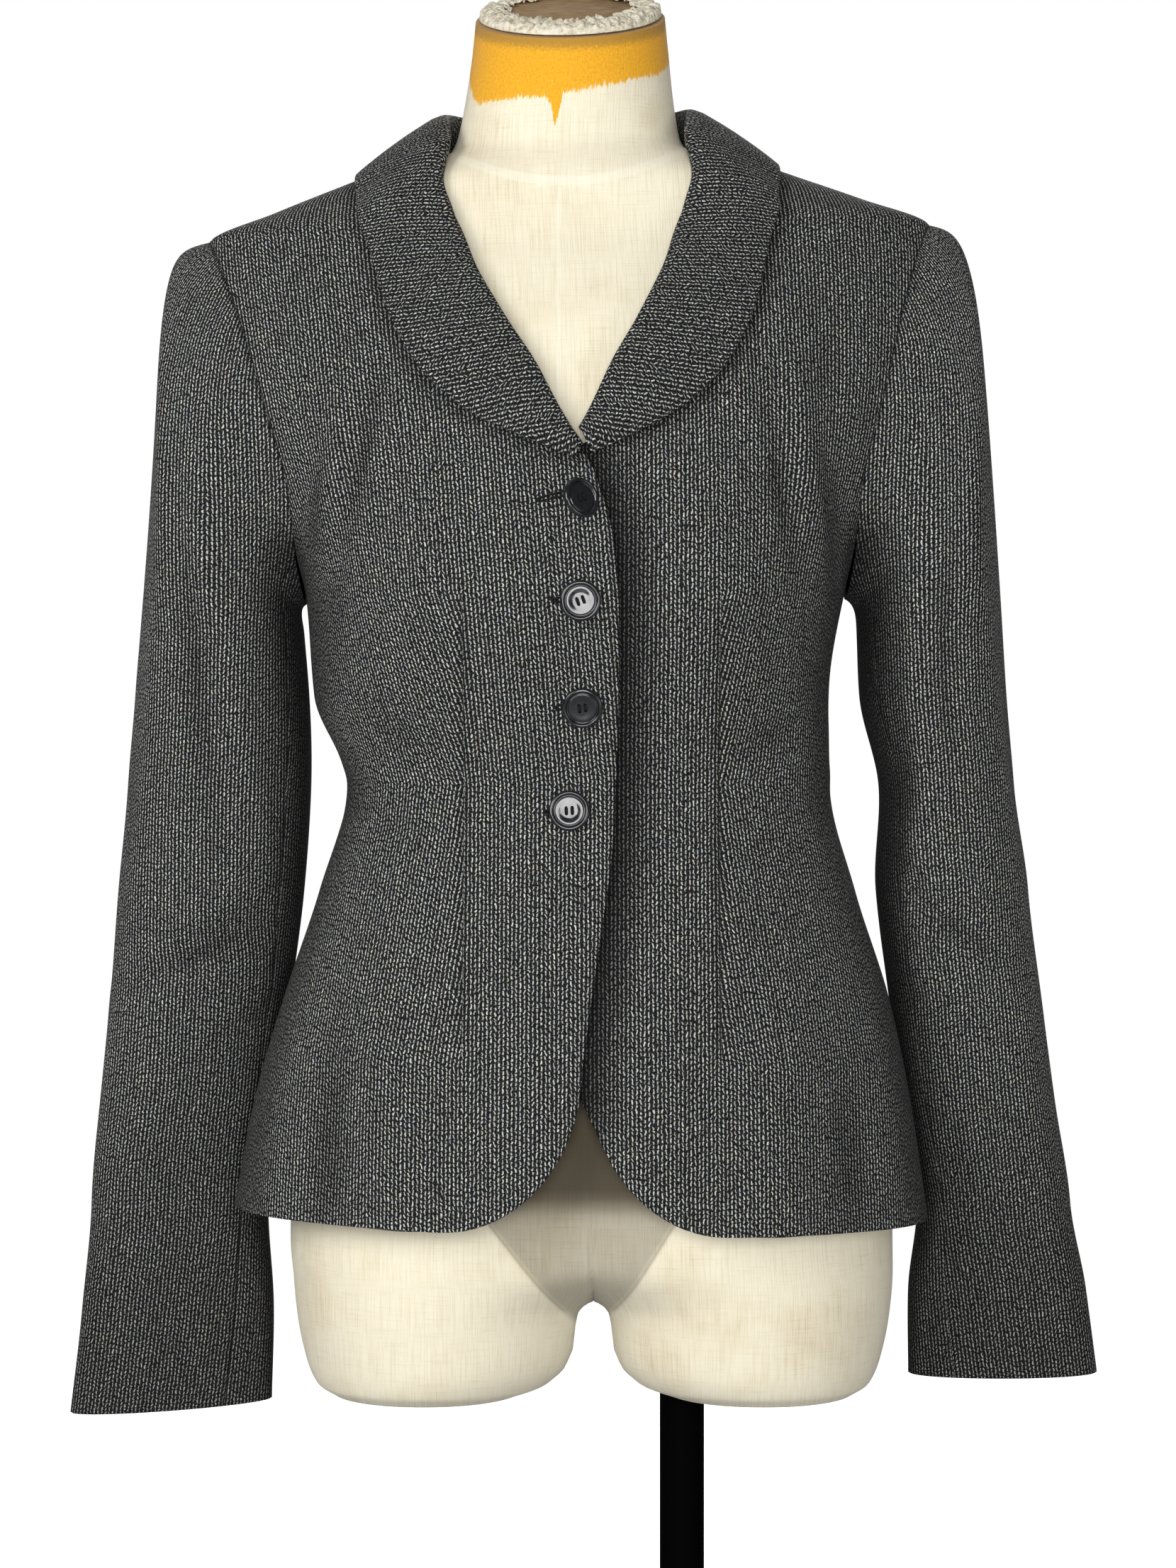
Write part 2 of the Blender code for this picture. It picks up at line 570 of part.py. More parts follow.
def sleeve_ring(side, height, share):
    """Points of a level sleeve section; share is 0 outside, a quarter in front, half at the body."""
    table = SLEEVES[side]
    angle = 2 * math.pi * share
    out = table.at("half_width", height) * np.cos(angle)
    forward = table.at("half_depth", height) * np.sin(angle)
    swing = np.radians(table.at("turn", height))
    across = out * np.cos(swing) - forward * np.sin(swing)
    back = -forward * np.cos(swing) - out * np.sin(swing)
    x = side * (table.at("out", height) + across)
    y = table.at("back", height) + back
    cuff = table.rows[0, 0]
    fade = 1 - ease(0.0, CUFF_TILT_REACH, height - cuff)
    z = WAIST + height + CUFF_TILT[side] * fade * across
    return np.stack(np.broadcast_arrays(x, y, z), axis=-1)


def armhole_edge(side, share):
    """Points of the armhole's edge, by the shares of a sleeve section, and the cloth's normal there."""
    front = share <= 0.5
    angle = math.pi * np.abs(1 - 2 * share)
    front_turn, height = armhole(side, angle, behind=False)
    back_turn, height = armhole(side, angle, behind=True)
    turn = np.where(front, front_turn, back_turn)
    return cloth_middle(turn, height), cloth_normal(turn, height)


def sleeve_points(side, first, last, columns):
    """Points of a sleeve piece between two seams, from the armhole to the cuff."""
    table = SLEEVES[side]
    top = table.rows[-1, 0]
    cuff = table.rows[0, 0]
    across = np.linspace(0.0, 1.0, columns)
    rows = []
    for step in range(HEAD_ROWS + ARM_ROWS):
        down = max(step - HEAD_ROWS, 0) / (ARM_ROWS - 1)
        start = first[0] + (first[1] - first[0]) * down
        end = last[0] + (last[1] - last[0]) * down
        share = (start + (end - start) * across) % 1.0
        if step < HEAD_ROWS:
            rows.append(sleeve_cap(side, share, step / HEAD_ROWS, top))
        else:
            rows.append(sleeve_ring(side, top + (cuff - top) * down, share))
    return np.stack(rows)


def sleeve_cap(side, share, along, top):
    """Points of the sleeve head, which leaves the armhole outwards and turns down to the first section."""
    share = np.asarray(share, dtype=float)
    start, normal = armhole_edge(side, share)
    small = 0.002
    run = armhole_edge(side, (share + small) % 1.0)[0] - armhole_edge(side, (share - small) % 1.0)[0]
    run /= np.linalg.norm(run, axis=-1, keepdims=True)
    onward = -side * np.cross(run, normal)
    armpit = ease(HEAD_ARMPIT, 0.0, np.abs(share - 0.5))
    crown = ease(HEAD_CROWN, 0.0, np.minimum(share, 1 - share))
    forward = -HEAD_FORWARD * np.sin(2 * math.pi * share)
    fall = -HEAD_FALL["all"] - HEAD_FALL["armpit"] * armpit - HEAD_FALL["crown"] * crown
    outward = np.stack((side * np.ones_like(share), forward, fall), axis=-1)
    outward += onward * (HEAD_ONWARD * (1 - armpit))[:, None]
    outward /= np.linalg.norm(outward, axis=-1, keepdims=True)
    wider = ease(UNDERARM_STEP_FROM, UNDERARM_STEP_FULL, armpit)
    gap = SLEEVE_SEAM_STEP + (UNDERARM_STEP - SLEEVE_SEAM_STEP) * wider
    start = start + outward * gap[:, None]
    end = sleeve_ring(side, top, share)
    below = 0.005
    upward = end - sleeve_ring(side, top - below, share)
    upward /= np.linalg.norm(upward, axis=-1, keepdims=True)
    length = np.linalg.norm(end - start, axis=-1)[:, None]
    first = start + outward * length * (HEAD_REACH["all"] + HEAD_REACH["crown"] * crown)[:, None]
    second = end + upward * length * (HEAD_RISE["all"] + HEAD_RISE["crown"] * crown)[:, None]
    t = along
    return ((1 - t) ** 3 * start + 3 * t * (1 - t) ** 2 * first
            + 3 * t * t * (1 - t) * second + t ** 3 * end)


def form_loop(height, angles):
    """Half section of the dress form at +X, closed along the middle plane or round a thigh."""
    legs = float(FORM.at("legs", height))
    width = float(FORM.at("half_width", height)) - legs
    power = 2.0 / float(FORM.at("square", height))
    sine, cosine = np.sin(angles), np.cos(angles)
    x = np.maximum(legs + width * np.sign(sine) * np.abs(sine) ** power, 0.0)
    depth = np.where(cosine > 0, float(FORM.at("front", height)), float(FORM.at("back", height)))
    y = float(FORM.at("lean", height)) - depth * np.sign(cosine) * np.abs(cosine) ** power
    sideways = (x - FORM_BUST["across"]) / FORM_BUST["half_across"]
    upward = (height - FORM_BUST["height"]) / FORM_BUST["half_height"]
    y = y - FORM_BUST["rise"] * np.exp(-sideways ** 2 - upward ** 2) * ease(*SWELL_FADE, cosine)
    slope = NECK_TILT * float(ease(NECK_TILT_FROM, FORM.rows[-1, 0], height))
    return np.stack((x, y, WAIST + height + slope * y), axis=-1)


def clear_scene():
    for item in list(bpy.data.objects):
        bpy.data.objects.remove(item, do_unlink=True)


def collection(name):
    made = bpy.data.collections.new(name)
    bpy.context.scene.collection.children.link(made)
    return made


def material(name, colour, roughness, metallic=0.0):
    made = bpy.data.materials.new(name)
    made.use_nodes = True
    shader = made.node_tree.nodes["Principled BSDF"]
    shader.inputs["Base Color"].default_value = (*colour, 1.0)
    shader.inputs["Roughness"].default_value = roughness
    shader.inputs["Metallic"].default_value = metallic
    return made


def add_object(name, mesh, group, finish):
    made = bpy.data.objects.new(name, mesh)
    group.objects.link(made)
    if finish is not None and not mesh.materials:
        mesh.materials.append(finish)
    return made


def grid_mesh(name, points):
    """A grid whose vertices are moved to the points, row by row."""
    rows, columns = points.shape[:2]
    shape = bmesh.new()
    bmesh.ops.create_grid(shape, x_segments=columns - 1, y_segments=rows - 1, size=1.0)
    shape.verts.ensure_lookup_table()
    for vertex, point in zip(shape.verts, points.reshape(-1, 3)):
        vertex.co = point
    mesh = bpy.data.meshes.new(name)
    shape.to_mesh(mesh)
    shape.free()
    mesh.shade_smooth()
    return mesh


def cloth_panel(name, points, group, finish, thickness=CLOTH):
    """A cloth piece: an open surface given its thickness both ways."""
    panel = add_object(name, grid_mesh(name, points), group, finish)
    wall = panel.modifiers.new("cloth", "SOLIDIFY")
    wall.thickness = thickness
    wall.offset = 0.0
    wall.use_even_offset = True
    return panel


def build_fronts(group, finish):
    for side, name in ((RIGHT, "front_right"), (LEFT, "front_left")):
        points = panel_points(front_rows(side), FRONT_COLUMNS, side, is_front=True)
        points = draw_in(points, ("last_row", "last_column"), SEAM_GAP)
        cloth_panel(name, points, group, finish)


def build_backs(group, finish):
    for side, name in ((RIGHT, "back_right"), (LEFT, "back_left")):
        points = panel_points(back_rows(side), BACK_COLUMNS, side, is_front=False)
        points = draw_in(points, ("last_row", "first_column", "last_column"), SEAM_GAP)
        cloth_panel(name, points, group, finish)


def build_collar(group, finish):
    for side, name in ((RIGHT, "collar_right"), (LEFT, "collar_left")):
        front = (seam_heights(side) - BREAK) / (NECK_POINT - BREAK)
        stations = np.concatenate((front[COLLAR_START[side]:], np.linspace(1, 2, BACK_NECK_ROWS)[1:]))
        points = collar_points(side, stations)
        points = draw_in(points, ("first_column", "last_row"), SEAM_GAP)
        cloth_panel(name, points, group, finish, COLLAR_CLOTH)


def build_sleeves(group, finish):
    for side, word in ((RIGHT, "right"), (LEFT, "left")):
        upper_start = tuple(share - 1 for share in HINDARM_SEAM)
        upper = sleeve_points(side, upper_start, FOREARM_SEAM, UPPER_SLEEVE_COLUMNS)
        upper = draw_in(upper, ("first_column", "last_column"), SEAM_GAP)
        cloth_panel("sleeve_upper_" + word, upper, group, finish)
        under = sleeve_points(side, FOREARM_SEAM, HINDARM_SEAM, UNDER_SLEEVE_COLUMNS)
        under = draw_in(under, ("first_column", "last_column"), SEAM_GAP)
        cloth_panel("sleeve_under_" + word, under, group, finish)


def button_mesh(group):
    """A turned four-hole button, made once and shared."""
    mesh = bpy.data.meshes.new("button_profile")
    edges = [(index, index + 1) for index in range(len(BUTTON_PROFILE) - 1)]
    mesh.from_pydata([(radius, 0.0, height) for radius, height in BUTTON_PROFILE], edges, [])
    turned = add_object("button_turned", mesh, group, None)
    screw = turned.modifiers.new("turn", "SCREW")
    screw.steps = BUTTON_SIDES
    screw.render_steps = BUTTON_SIDES
    screw.use_merge_vertices = True
    screw.merge_threshold = 0.0001
    half = BUTTON_HOLE_SPACING / 2
    drills = []
    for x in (-half, half):
        for y in (-half, half):
            bpy.ops.mesh.primitive_cylinder_add(vertices=DRILL_SIDES, radius=BUTTON_HOLE, depth=DRILL_LENGTH,
                                                location=(x, y, 0.0))
            drill = bpy.context.object
            drill.name = "button_drill"
            cut = turned.modifiers.new("hole", "BOOLEAN")
            cut.operation = "DIFFERENCE"
            cut.object = drill
            drills.append(drill)
    evaluated = turned.evaluated_get(bpy.context.evaluated_depsgraph_get())
    made = bpy.data.meshes.new_from_object(evaluated)
    made.name = "button"
    for item in (*drills, turned):
        bpy.data.objects.remove(item, do_unlink=True)
    made.shade_smooth()
    made.set_sharp_from_angle(angle=SOFT_EDGE)
    return made


def build_buttons(group, finish):
    mesh = button_mesh(group)
    for number, (height, across, seat, tip) in enumerate(reversed(BUTTONS.rows), start=1):
        turn = turn_at(LEFT, across, height)
        out = Vector(cloth_normal(turn, height))
        tipped = Matrix.Rotation(math.radians(tip), 3, "Z") @ out
        up = Vector((0.0, 0.0, 1.0))
        side = up.cross(tipped).normalized()
        upright = tipped.cross(side)
        lift = LAP_LIFT + CLOTH / 2 + seat + BUTTON_FOOT * math.sin(math.radians(tip))
        place = Vector(cloth_point(turn, height, lift))
        button = add_object("button_%d" % number, mesh, group, finish)
        turned = Matrix((side, upright, tipped)).transposed().to_4x4()
        button.matrix_world = Matrix.Translation(place) @ turned


def build_form(group, cutters, finish):
    """The form: a loft of closed half loops, mirrored and swayed, with a hole for the pole."""
    angles = np.linspace(0, 2 * math.pi, FORM_AROUND, endpoint=False)
    shape = bmesh.new()
    loops = []
    for height in form_heights():
        loops.append([shape.verts.new(point) for point in form_loop(height, angles)])
    for low, high in zip(loops[:-1], loops[1:]):
        for index in range(FORM_AROUND):
            following = (index + 1) % FORM_AROUND
            corners = (low[index], low[following], high[following], high[index])
            if max(corner.co.x for corner in corners) > MIDDLE_PLANE:
                shape.faces.new(corners)
    shape.faces.new(list(reversed(loops[0])))
    shape.faces.new(loops[-1][:FORM_AROUND // 2 + 1])
    loose = [vertex for vertex in shape.verts if not vertex.link_faces]
    bmesh.ops.delete(shape, geom=loose, context="VERTS")
    whole = shape.verts[:] + shape.edges[:] + shape.faces[:]
    bmesh.ops.mirror(shape, geom=whole, axis="X", merge_dist=MIDDLE_PLANE)
    for vertex in shape.verts:
        height = vertex.co.z - WAIST
        vertex.co.x += float(FORM.at("sway", height))
        vertex.co.z += float(BODY.at("tilt", max(height, 0.0))) * vertex.co.x
    bmesh.ops.recalc_face_normals(shape, faces=shape.faces[:])
    mesh = bpy.data.meshes.new("form_torso")
    shape.to_mesh(mesh)
    shape.free()
    mesh.shade_smooth()
    mesh.set_sharp_from_angle(angle=SOFT_EDGE)
    torso = add_object("form_torso", mesh, group, finish)
    socket = cylinder("pole_socket", POLE_RADIUS + POLE_CLEARANCE, WAIST + FORM_FOOT - POLE_DEPTH,
                      WAIST + FORM_FOOT + POLE_DEPTH, POLE_X, cutters, None)
    socket.hide_render = True
    socket.display_type = "WIRE"
    cut = torso.modifiers.new("pole_hole", "BOOLEAN")
    cut.operation = "DIFFERENCE"
    cut.object = socket


def form_heights():
    """Heights of the form's loops, closer where it turns in."""
    heights = FORM.column("height")
    foot_rows = 4
    shoulder_low = SHOULDER_TIP - ARM_PLATE_EASE
    body = np.linspace(heights[foot_rows], shoulder_low, FORM_BODY_LOOPS)
    shoulder = np.linspace(shoulder_low, heights[-1], FORM_SHOULDER_LOOPS)
    return np.concatenate((heights[:foot_rows], body, shoulder[1:]))


def build_neck_plate(group, finish):
    """An oval plate that closes the neck's sloping top."""
    top = FORM.rows[-1, 0]
    front, back, lean, width = (float(FORM.at(name, top)) for name in ("front", "back", "lean", "half_width"))
    shape = bmesh.new()
    bmesh.ops.create_cone(shape, cap_ends=True, segments=ROUND_SIDES, radius1=1.0, radius2=1.0,
                          depth=NECK_PLATE)
    for vertex in shape.verts:
        x = vertex.co.x * (width - NECK_PLATE_MARGIN) + float(FORM.at("sway", top))
        y = lean + (back - front) / 2 + vertex.co.y * ((front + back) / 2 - NECK_PLATE_MARGIN)
        z = WAIST + top + NECK_TILT * y + vertex.co.z + NECK_PLATE / 2 + SEAM_GAP
        vertex.co = (x, y, z + float(BODY.at("tilt", top)) * x)
    mesh = bpy.data.meshes.new("neck_plate")
    shape.to_mesh(mesh)
    shape.free()
    add_object("neck_plate", mesh, group, finish)


def cylinder(name, radius, low, high, x, group, finish):
    """An upright round bar between two heights above the floor."""
    bpy.ops.mesh.primitive_cylinder_add(vertices=ROUND_SIDES, radius=radius, depth=high - low,
                                        location=(x, 0.0, (low + high) / 2))
    made = bpy.context.object
    made.name = name
    for owner in list(made.users_collection):
        owner.objects.unlink(made)
    group.objects.link(made)
    made.data.shade_smooth()
    made.data.set_sharp_from_angle(angle=SOFT_EDGE)
    if finish is not None:
        made.data.materials.append(finish)
    return made


def build_stand(group, finish):
    """The pole, which enters one thigh, and its round base plate."""
    top = WAIST + FORM_FOOT + POLE_DEPTH - POLE_CLEARANCE
    cylinder("stand_pole", POLE_RADIUS, BASE_THICKNESS + SEAM_GAP, top, POLE_X, group, finish)
    plate = cylinder("stand_base", BASE_RADIUS, 0.0, BASE_THICKNESS, 0.0, group, finish)
    edge = plate.modifiers.new("edge", "BEVEL")
    edge.width = BASE_EDGE
    edge.segments = 2
    edge.limit_method = "ANGLE"


def main():
    clear_scene()
    parts = collection("wool_blazer")
    cutters = collection("cutters")
    wool = material("wool", (0.055, 0.056, 0.058), 0.9)
    horn = material("black_button", (0.012, 0.013, 0.016), 0.25)
    linen = material("linen", (0.70, 0.62, 0.49), 0.95)
    board = material("neck_board", (0.47, 0.33, 0.18), 0.9)
    steel = material("black_steel", (0.012, 0.012, 0.013), 0.45, 0.6)
    build_fronts(parts, wool)
    build_backs(parts, wool)
    build_collar(parts, wool)
    build_sleeves(parts, wool)
    build_buttons(parts, horn)
    build_form(parts, cutters, linen)
    build_neck_plate(parts, board)
    build_stand(parts, steel)


main()
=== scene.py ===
"""Looks of a fitted wool blazer on a linen dress form, laid over its fixed solids.

Metres, +Z up.  The blazer faces -Y, so +X is the wearer's left.  The origin is the middle of the base
plate's underside.  Heights in the tables are measured from the waist line.
"""

import math

import bmesh
import bpy
import numpy as np
from mathutils import Matrix, Vector


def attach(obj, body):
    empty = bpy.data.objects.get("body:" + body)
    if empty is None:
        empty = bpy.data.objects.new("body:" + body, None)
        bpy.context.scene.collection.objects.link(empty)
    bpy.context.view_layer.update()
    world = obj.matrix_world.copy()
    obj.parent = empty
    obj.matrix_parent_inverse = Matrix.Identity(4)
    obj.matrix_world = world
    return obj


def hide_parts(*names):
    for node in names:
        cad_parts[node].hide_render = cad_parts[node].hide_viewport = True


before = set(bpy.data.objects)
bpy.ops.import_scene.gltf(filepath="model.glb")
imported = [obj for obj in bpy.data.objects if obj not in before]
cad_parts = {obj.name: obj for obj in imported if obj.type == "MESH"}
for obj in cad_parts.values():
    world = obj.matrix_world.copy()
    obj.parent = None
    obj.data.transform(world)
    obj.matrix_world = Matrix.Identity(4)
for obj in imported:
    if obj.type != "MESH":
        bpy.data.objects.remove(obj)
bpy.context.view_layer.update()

# Driving dimensions
WAIST = 0.8  # waist line above the floor
CLOTH = 0.0022  # wool with its interlining
COLLAR_CLOTH = 0.0024  # collar, two layers pressed together
SEAM_GAP = 0.0003  # between the edges of two pieces sewn together
LAP_LIFT = 0.0017  # each front's step away from the other where they lap
LAP_FADE = (0.02, 0.062)  # distances from the centre line between which that step fades out
HEM = -0.24  # hem of the blazer
UNDERARM = 0.105  # lowest point of the armhole
SHOULDER_TIP = 0.31  # highest point of the armhole
NECK_POINT = 0.3595  # where the shoulder seam meets the neck seam
BACK_NECK = 0.343  # neck seam at the centre back

CUTAWAY_WIDTH = 0.076  # rounded front corner, along the hem
CUTAWAY_HEIGHT = 0.089  # rounded front corner, up the front edge

ARMHOLE_REACH = 0.055  # half the armhole's depth from front to back
ARMHOLE_SKEW = 0.25  # how much the armhole is fuller below its middle

BUTTON_RADIUS = 0.011
BUTTON_FOOT = 0.0092  # radius of a button's flat underside
BUTTON_HOLE = 0.0009  # radius of a thread hole
BUTTON_HOLE_SPACING = 0.0032

POLE_RADIUS = 0.0125
POLE_X = 0.06
POLE_DEPTH = 0.06  # how far the pole goes up into the form
POLE_CLEARANCE = 0.0004
BASE_RADIUS = 0.19
BASE_THICKNESS = 0.01
BASE_EDGE = 0.0025  # rounding of the base plate's rim
NECK_PLATE = 0.004
FORM_FOOT = -0.342  # underside of the form's thighs
MIDDLE_PLANE = 1e-6  # how close to the middle plane counts as on it

RIGHT = -1  # the wearer's right side, at -X
LEFT = 1

CUT_BACK = {RIGHT: 0.0, LEFT: 0.01}  # how far a front's rounded corner is cut back under the lap
CUT_BACK_FADE = (-0.192, -0.138)  # heights between which that fades out

# Grid rows and columns of the cloth pieces
CUTAWAY_ROWS = 26
SIDE_ROWS = 84  # hem or cutaway to underarm
EDGE_ROWS = 18  # underarm to break
NECK_ROWS = 56  # break to neck point
CENTRE_BACK_ROWS = 40  # underarm to back neck
BACK_NECK_ROWS = 34  # centre back to neck point
INNER_COLUMNS = 30  # front edge to the waist dart
OUTER_COLUMNS = 54  # waist dart to the side seam
BACK_COLUMNS = 60
UPPER_SLEEVE_COLUMNS = 84
UNDER_SLEEVE_COLUMNS = 60
HEAD_ROWS = 44  # armhole to the first level section of a sleeve
ARM_ROWS = 150  # from there to the cuff
COLLAR_FRONT_ROWS = 76
COLLAR_BACK_ROWS = 36
ARMHOLE_CROWD = 1.15  # rows of fronts and backs crowd towards the shoulder tip by this power

ROUND_SIDES = 64  # sides of the pole and of the neck's board
SOFT_EDGE = math.radians(50)  # sharper edges than this are shaded sharp
TINY = 1e-9
# Edges of a grid: 0 runs along a row, 1 along a column, and then the first or the last of them
EDGES = {"first_row": (0, 0), "last_row": (0, -1), "first_column": (1, 0), "last_column": (1, -1)}


class Table:
    """Rows of numbers with named columns, read smoothly along the first column."""

    def __init__(self, columns, *rows):
        self.columns = columns
        self.rows = np.array(rows, dtype=float)

    def column(self, name):
        return self.rows[:, self.columns.index(name)]

    def at(self, name, place):
        return smooth(self.rows[:, 0], self.column(name), place)

    def several(self, place, *names):
        return [float(self.at(name, place)) for name in names]


def smooth(knots, values, place):
    """A cubic through the values that never overshoots them."""
    place = np.asarray(place, dtype=float)
    step = np.diff(knots)
    slope = np.diff(values) / step
    rising = slope[:-1] * slope[1:] > 0
    total = np.where(rising, slope[:-1] + slope[1:], 1.0)
    inner = np.where(rising, 2 * slope[:-1] * slope[1:] / total, 0.0)
    tangent = np.concatenate(([slope[0]], inner, [slope[-1]]))
    cell = np.clip(np.searchsorted(knots, place) - 1, 0, len(step) - 1)
    t = np.clip((place - knots[cell]) / step[cell], 0.0, 1.0)
    start = (1 + 2 * t) * (1 - t) ** 2 * values[cell] + t * (1 - t) ** 2 * step[cell] * tangent[cell]
    end = t * t * (3 - 2 * t) * values[cell + 1] + t * t * (t - 1) * step[cell] * tangent[cell + 1]
    return start + end


def unit(vectors):
    """Vectors with their directions kept and their lengths made one."""
    return vectors / np.linalg.norm(vectors, axis=-1, keepdims=True)


def circle(count):
    """Angles evenly round a whole turn."""
    return np.linspace(0.0, 2 * math.pi, count, endpoint=False)


def ease(low, high, value):
    """Runs smoothly from 0 at low to 1 at high."""
    t = np.clip((np.asarray(value, dtype=float) - low) / (high - low), 0.0, 1.0)
    return t * t * (3 - 2 * t)


# Level sections of the blazer's cloth.  The half widths are those of the wearer's right and left, front
# and back are depths from the middle, which leans back by lean and sways sideways by sway, and tilt is the
# rise for each metre towards the wearer's left.  Above the underarm the width is that of the section
# before the armhole is cut away.
BODY = Table(
    ("height", "right_width", "left_width", "front", "back", "sway", "lean", "tilt", "square"),
    (-0.24, 0.191, 0.197, 0.137, 0.132, 0, 0, -0.02, 2.05),
    (-0.18, 0.1795, 0.188, 0.131, 0.13, 0, 0, -0.016, 2.05),
    (-0.12, 0.1625, 0.1755, 0.122, 0.12, 0, 0, -0.01, 2.1),
    (-0.06, 0.143, 0.1565, 0.11, 0.105, 0, 0, -0.004, 2.15),
    (0, 0.1275, 0.142, 0.101, 0.093, 0, 0, 0, 2.2),
    (0.05, 0.146, 0.1415, 0.112, 0.099, 0, 0, 0.004, 2.25),
    (0.105, 0.15, 0.15, 0.123, 0.107, 0, 0, 0.01, 2.3),
    (0.13, 0.1605, 0.1605, 0.121, 0.109, 0, 0, 0.012, 2.3),
    (0.17, 0.1757, 0.1757, 0.113, 0.109, 0, 0, 0.015, 2.25),
    (0.21, 0.1942, 0.1942, 0.101, 0.107, -0.0005, 0, 0.018, 2.2),
    (0.25, 0.2065, 0.2065, 0.087, 0.1, -0.0015, 0, 0.021, 2.1),
    (0.28, 0.21, 0.21, 0.073, 0.088, -0.0025, 0.002, 0.023, 2.05),
    (0.31, 0.2025, 0.2025, 0.058, 0.072, -0.0035, 0.004, 0.024, 2),
    (0.325, 0.1665, 0.1665, 0.056, 0.068, -0.004, 0.006, 0.024, 2),
    (0.34, 0.126, 0.126, 0.055, 0.065, -0.0045, 0.007, 0.024, 2),
    (0.35, 0.099, 0.099, 0.054, 0.062, -0.0045, 0.008, 0.024, 2),
    (0.3595, 0.0745, 0.0745, 0.053, 0.06, -0.0045, 0.01, 0.024, 2),
    (0.375, 0.069, 0.069, 0.052, 0.058, -0.0045, 0.01, 0.024, 2),
    (0.39, 0.0665, 0.0665, 0.051, 0.057, -0.0045, 0.01, 0.024, 2),
)

# Full places and hollows of the cloth, on both sides: across is the distance from the middle.
SWELLS = Table(
    ("across", "height", "half_across", "half_height", "rise"),
    (0.084, 0.102, 0.046, 0.058, 0.0085),
    (0.118, 0.158, 0.014, 0.05, 0.003),
    (0.146, 0.134, 0.014, 0.034, -0.006),
)
SWELL_FADE = (0.05, 0.45)  # they fade out where the cloth turns to the side

# Inner edge of a front, from the top of the cutaway to the neck point: past is beyond the centre line.
FRONT_EDGE = Table(
    ("height", "past"),
    (-0.151, 0.004),
    (-0.09, 0.0125),
    (-0.035, 0.02),
    (0.016, 0.0225),
    (0.06, 0.0235),
    (0.1, 0.0235),
    (0.133, 0.02),
    (0.155, 0.0143),
    (0.1745, 0.0065),
    (0.19, -0.014),
    (0.225, -0.039),
    (0.26, -0.057),
    (0.31, -0.074),
    (0.3595, -0.0745),
)

# Collar stations: 0 is the break at the front edge, 1 the shoulder seam and 2 the centre back.  The roll
# is the folded top, the edge is the free outer edge; the lifts are above the middle of the panel under
# them, and behind is 1 past the shoulder seam.
COLLAR = Table(
    ("station", "roll_across", "roll_height", "edge_across", "edge_height", "edge_lift", "behind",
     "roll_lift"),
    (0, -0.006, 0.176, -0.005, 0.1725, 0.0042, 0, 0.004),
    (0.05, -0.0005, 0.185, 0.006, 0.1755, 0.0042, 0, 0.005),
    (0.12, 0.0085, 0.2, 0.029, 0.1855, 0.0042, 0, 0.0058),
    (0.24, 0.021, 0.226, 0.054, 0.1985, 0.0042, 0, 0.0066),
    (0.37, 0.036, 0.251, 0.08, 0.222, 0.0042, 0, 0.007),
    (0.52, 0.051, 0.279, 0.099, 0.256, 0.0042, 0, 0.0072),
    (0.69, 0.0635, 0.313, 0.1095, 0.296, 0.0046, 0, 0.0072),
    (0.86, 0.0685, 0.35, 0.1135, 0.326, 0.0056, 0, 0.007),
    (1, 0.0675, 0.38, 0.1135, 0.3446, 0.0056, 0, 0.0066),
    (1.25, 0.06, 0.383, 0.104, 0.338, 0.0048, 1, 0.0064),
    (1.5, 0.045, 0.383, 0.076, 0.327, 0.0042, 1, 0.0064),
    (1.75, 0.0225, 0.382, 0.038, 0.321, 0.0042, 1, 0.0064),
    (2, 0, 0.3815, 0, 0.319, 0.0042, 1, 0.0064),
)

# Across the collar from the neck seam to the free edge: place is 0 at the seam, 1 on the roll and 2 at
# the edge, and lift is a share of the roll's lift.
COLLAR_PROFILE = Table(
    ("place", "lift"),
    (0, 0),
    (0.45, 0.1),
    (0.85, 0.22),
    (0.98, 0.46),
    (1.02, 0.8),
    (1.1, 1),
    (1.3, 1),
    (1.55, 1),
    (1.8, 1),
    (2, 1),
)
BREAK = 0.1745  # height where the collar's roll leaves the front edge
COLLAR_TIP = 0.022  # station where the right collar begins
COLLAR_SLANT = {RIGHT: 0.0, LEFT: 0.026}  # how many stations sooner its free edge does
COLLAR_BOW = 0.0026  # how far the fall bows out between roll and edge
STAND_STEP = 0.0017  # stand's edge inside the neck seam where it turns up round the neck
STAND_STEP_FROM = 0.55  # station where that step begins

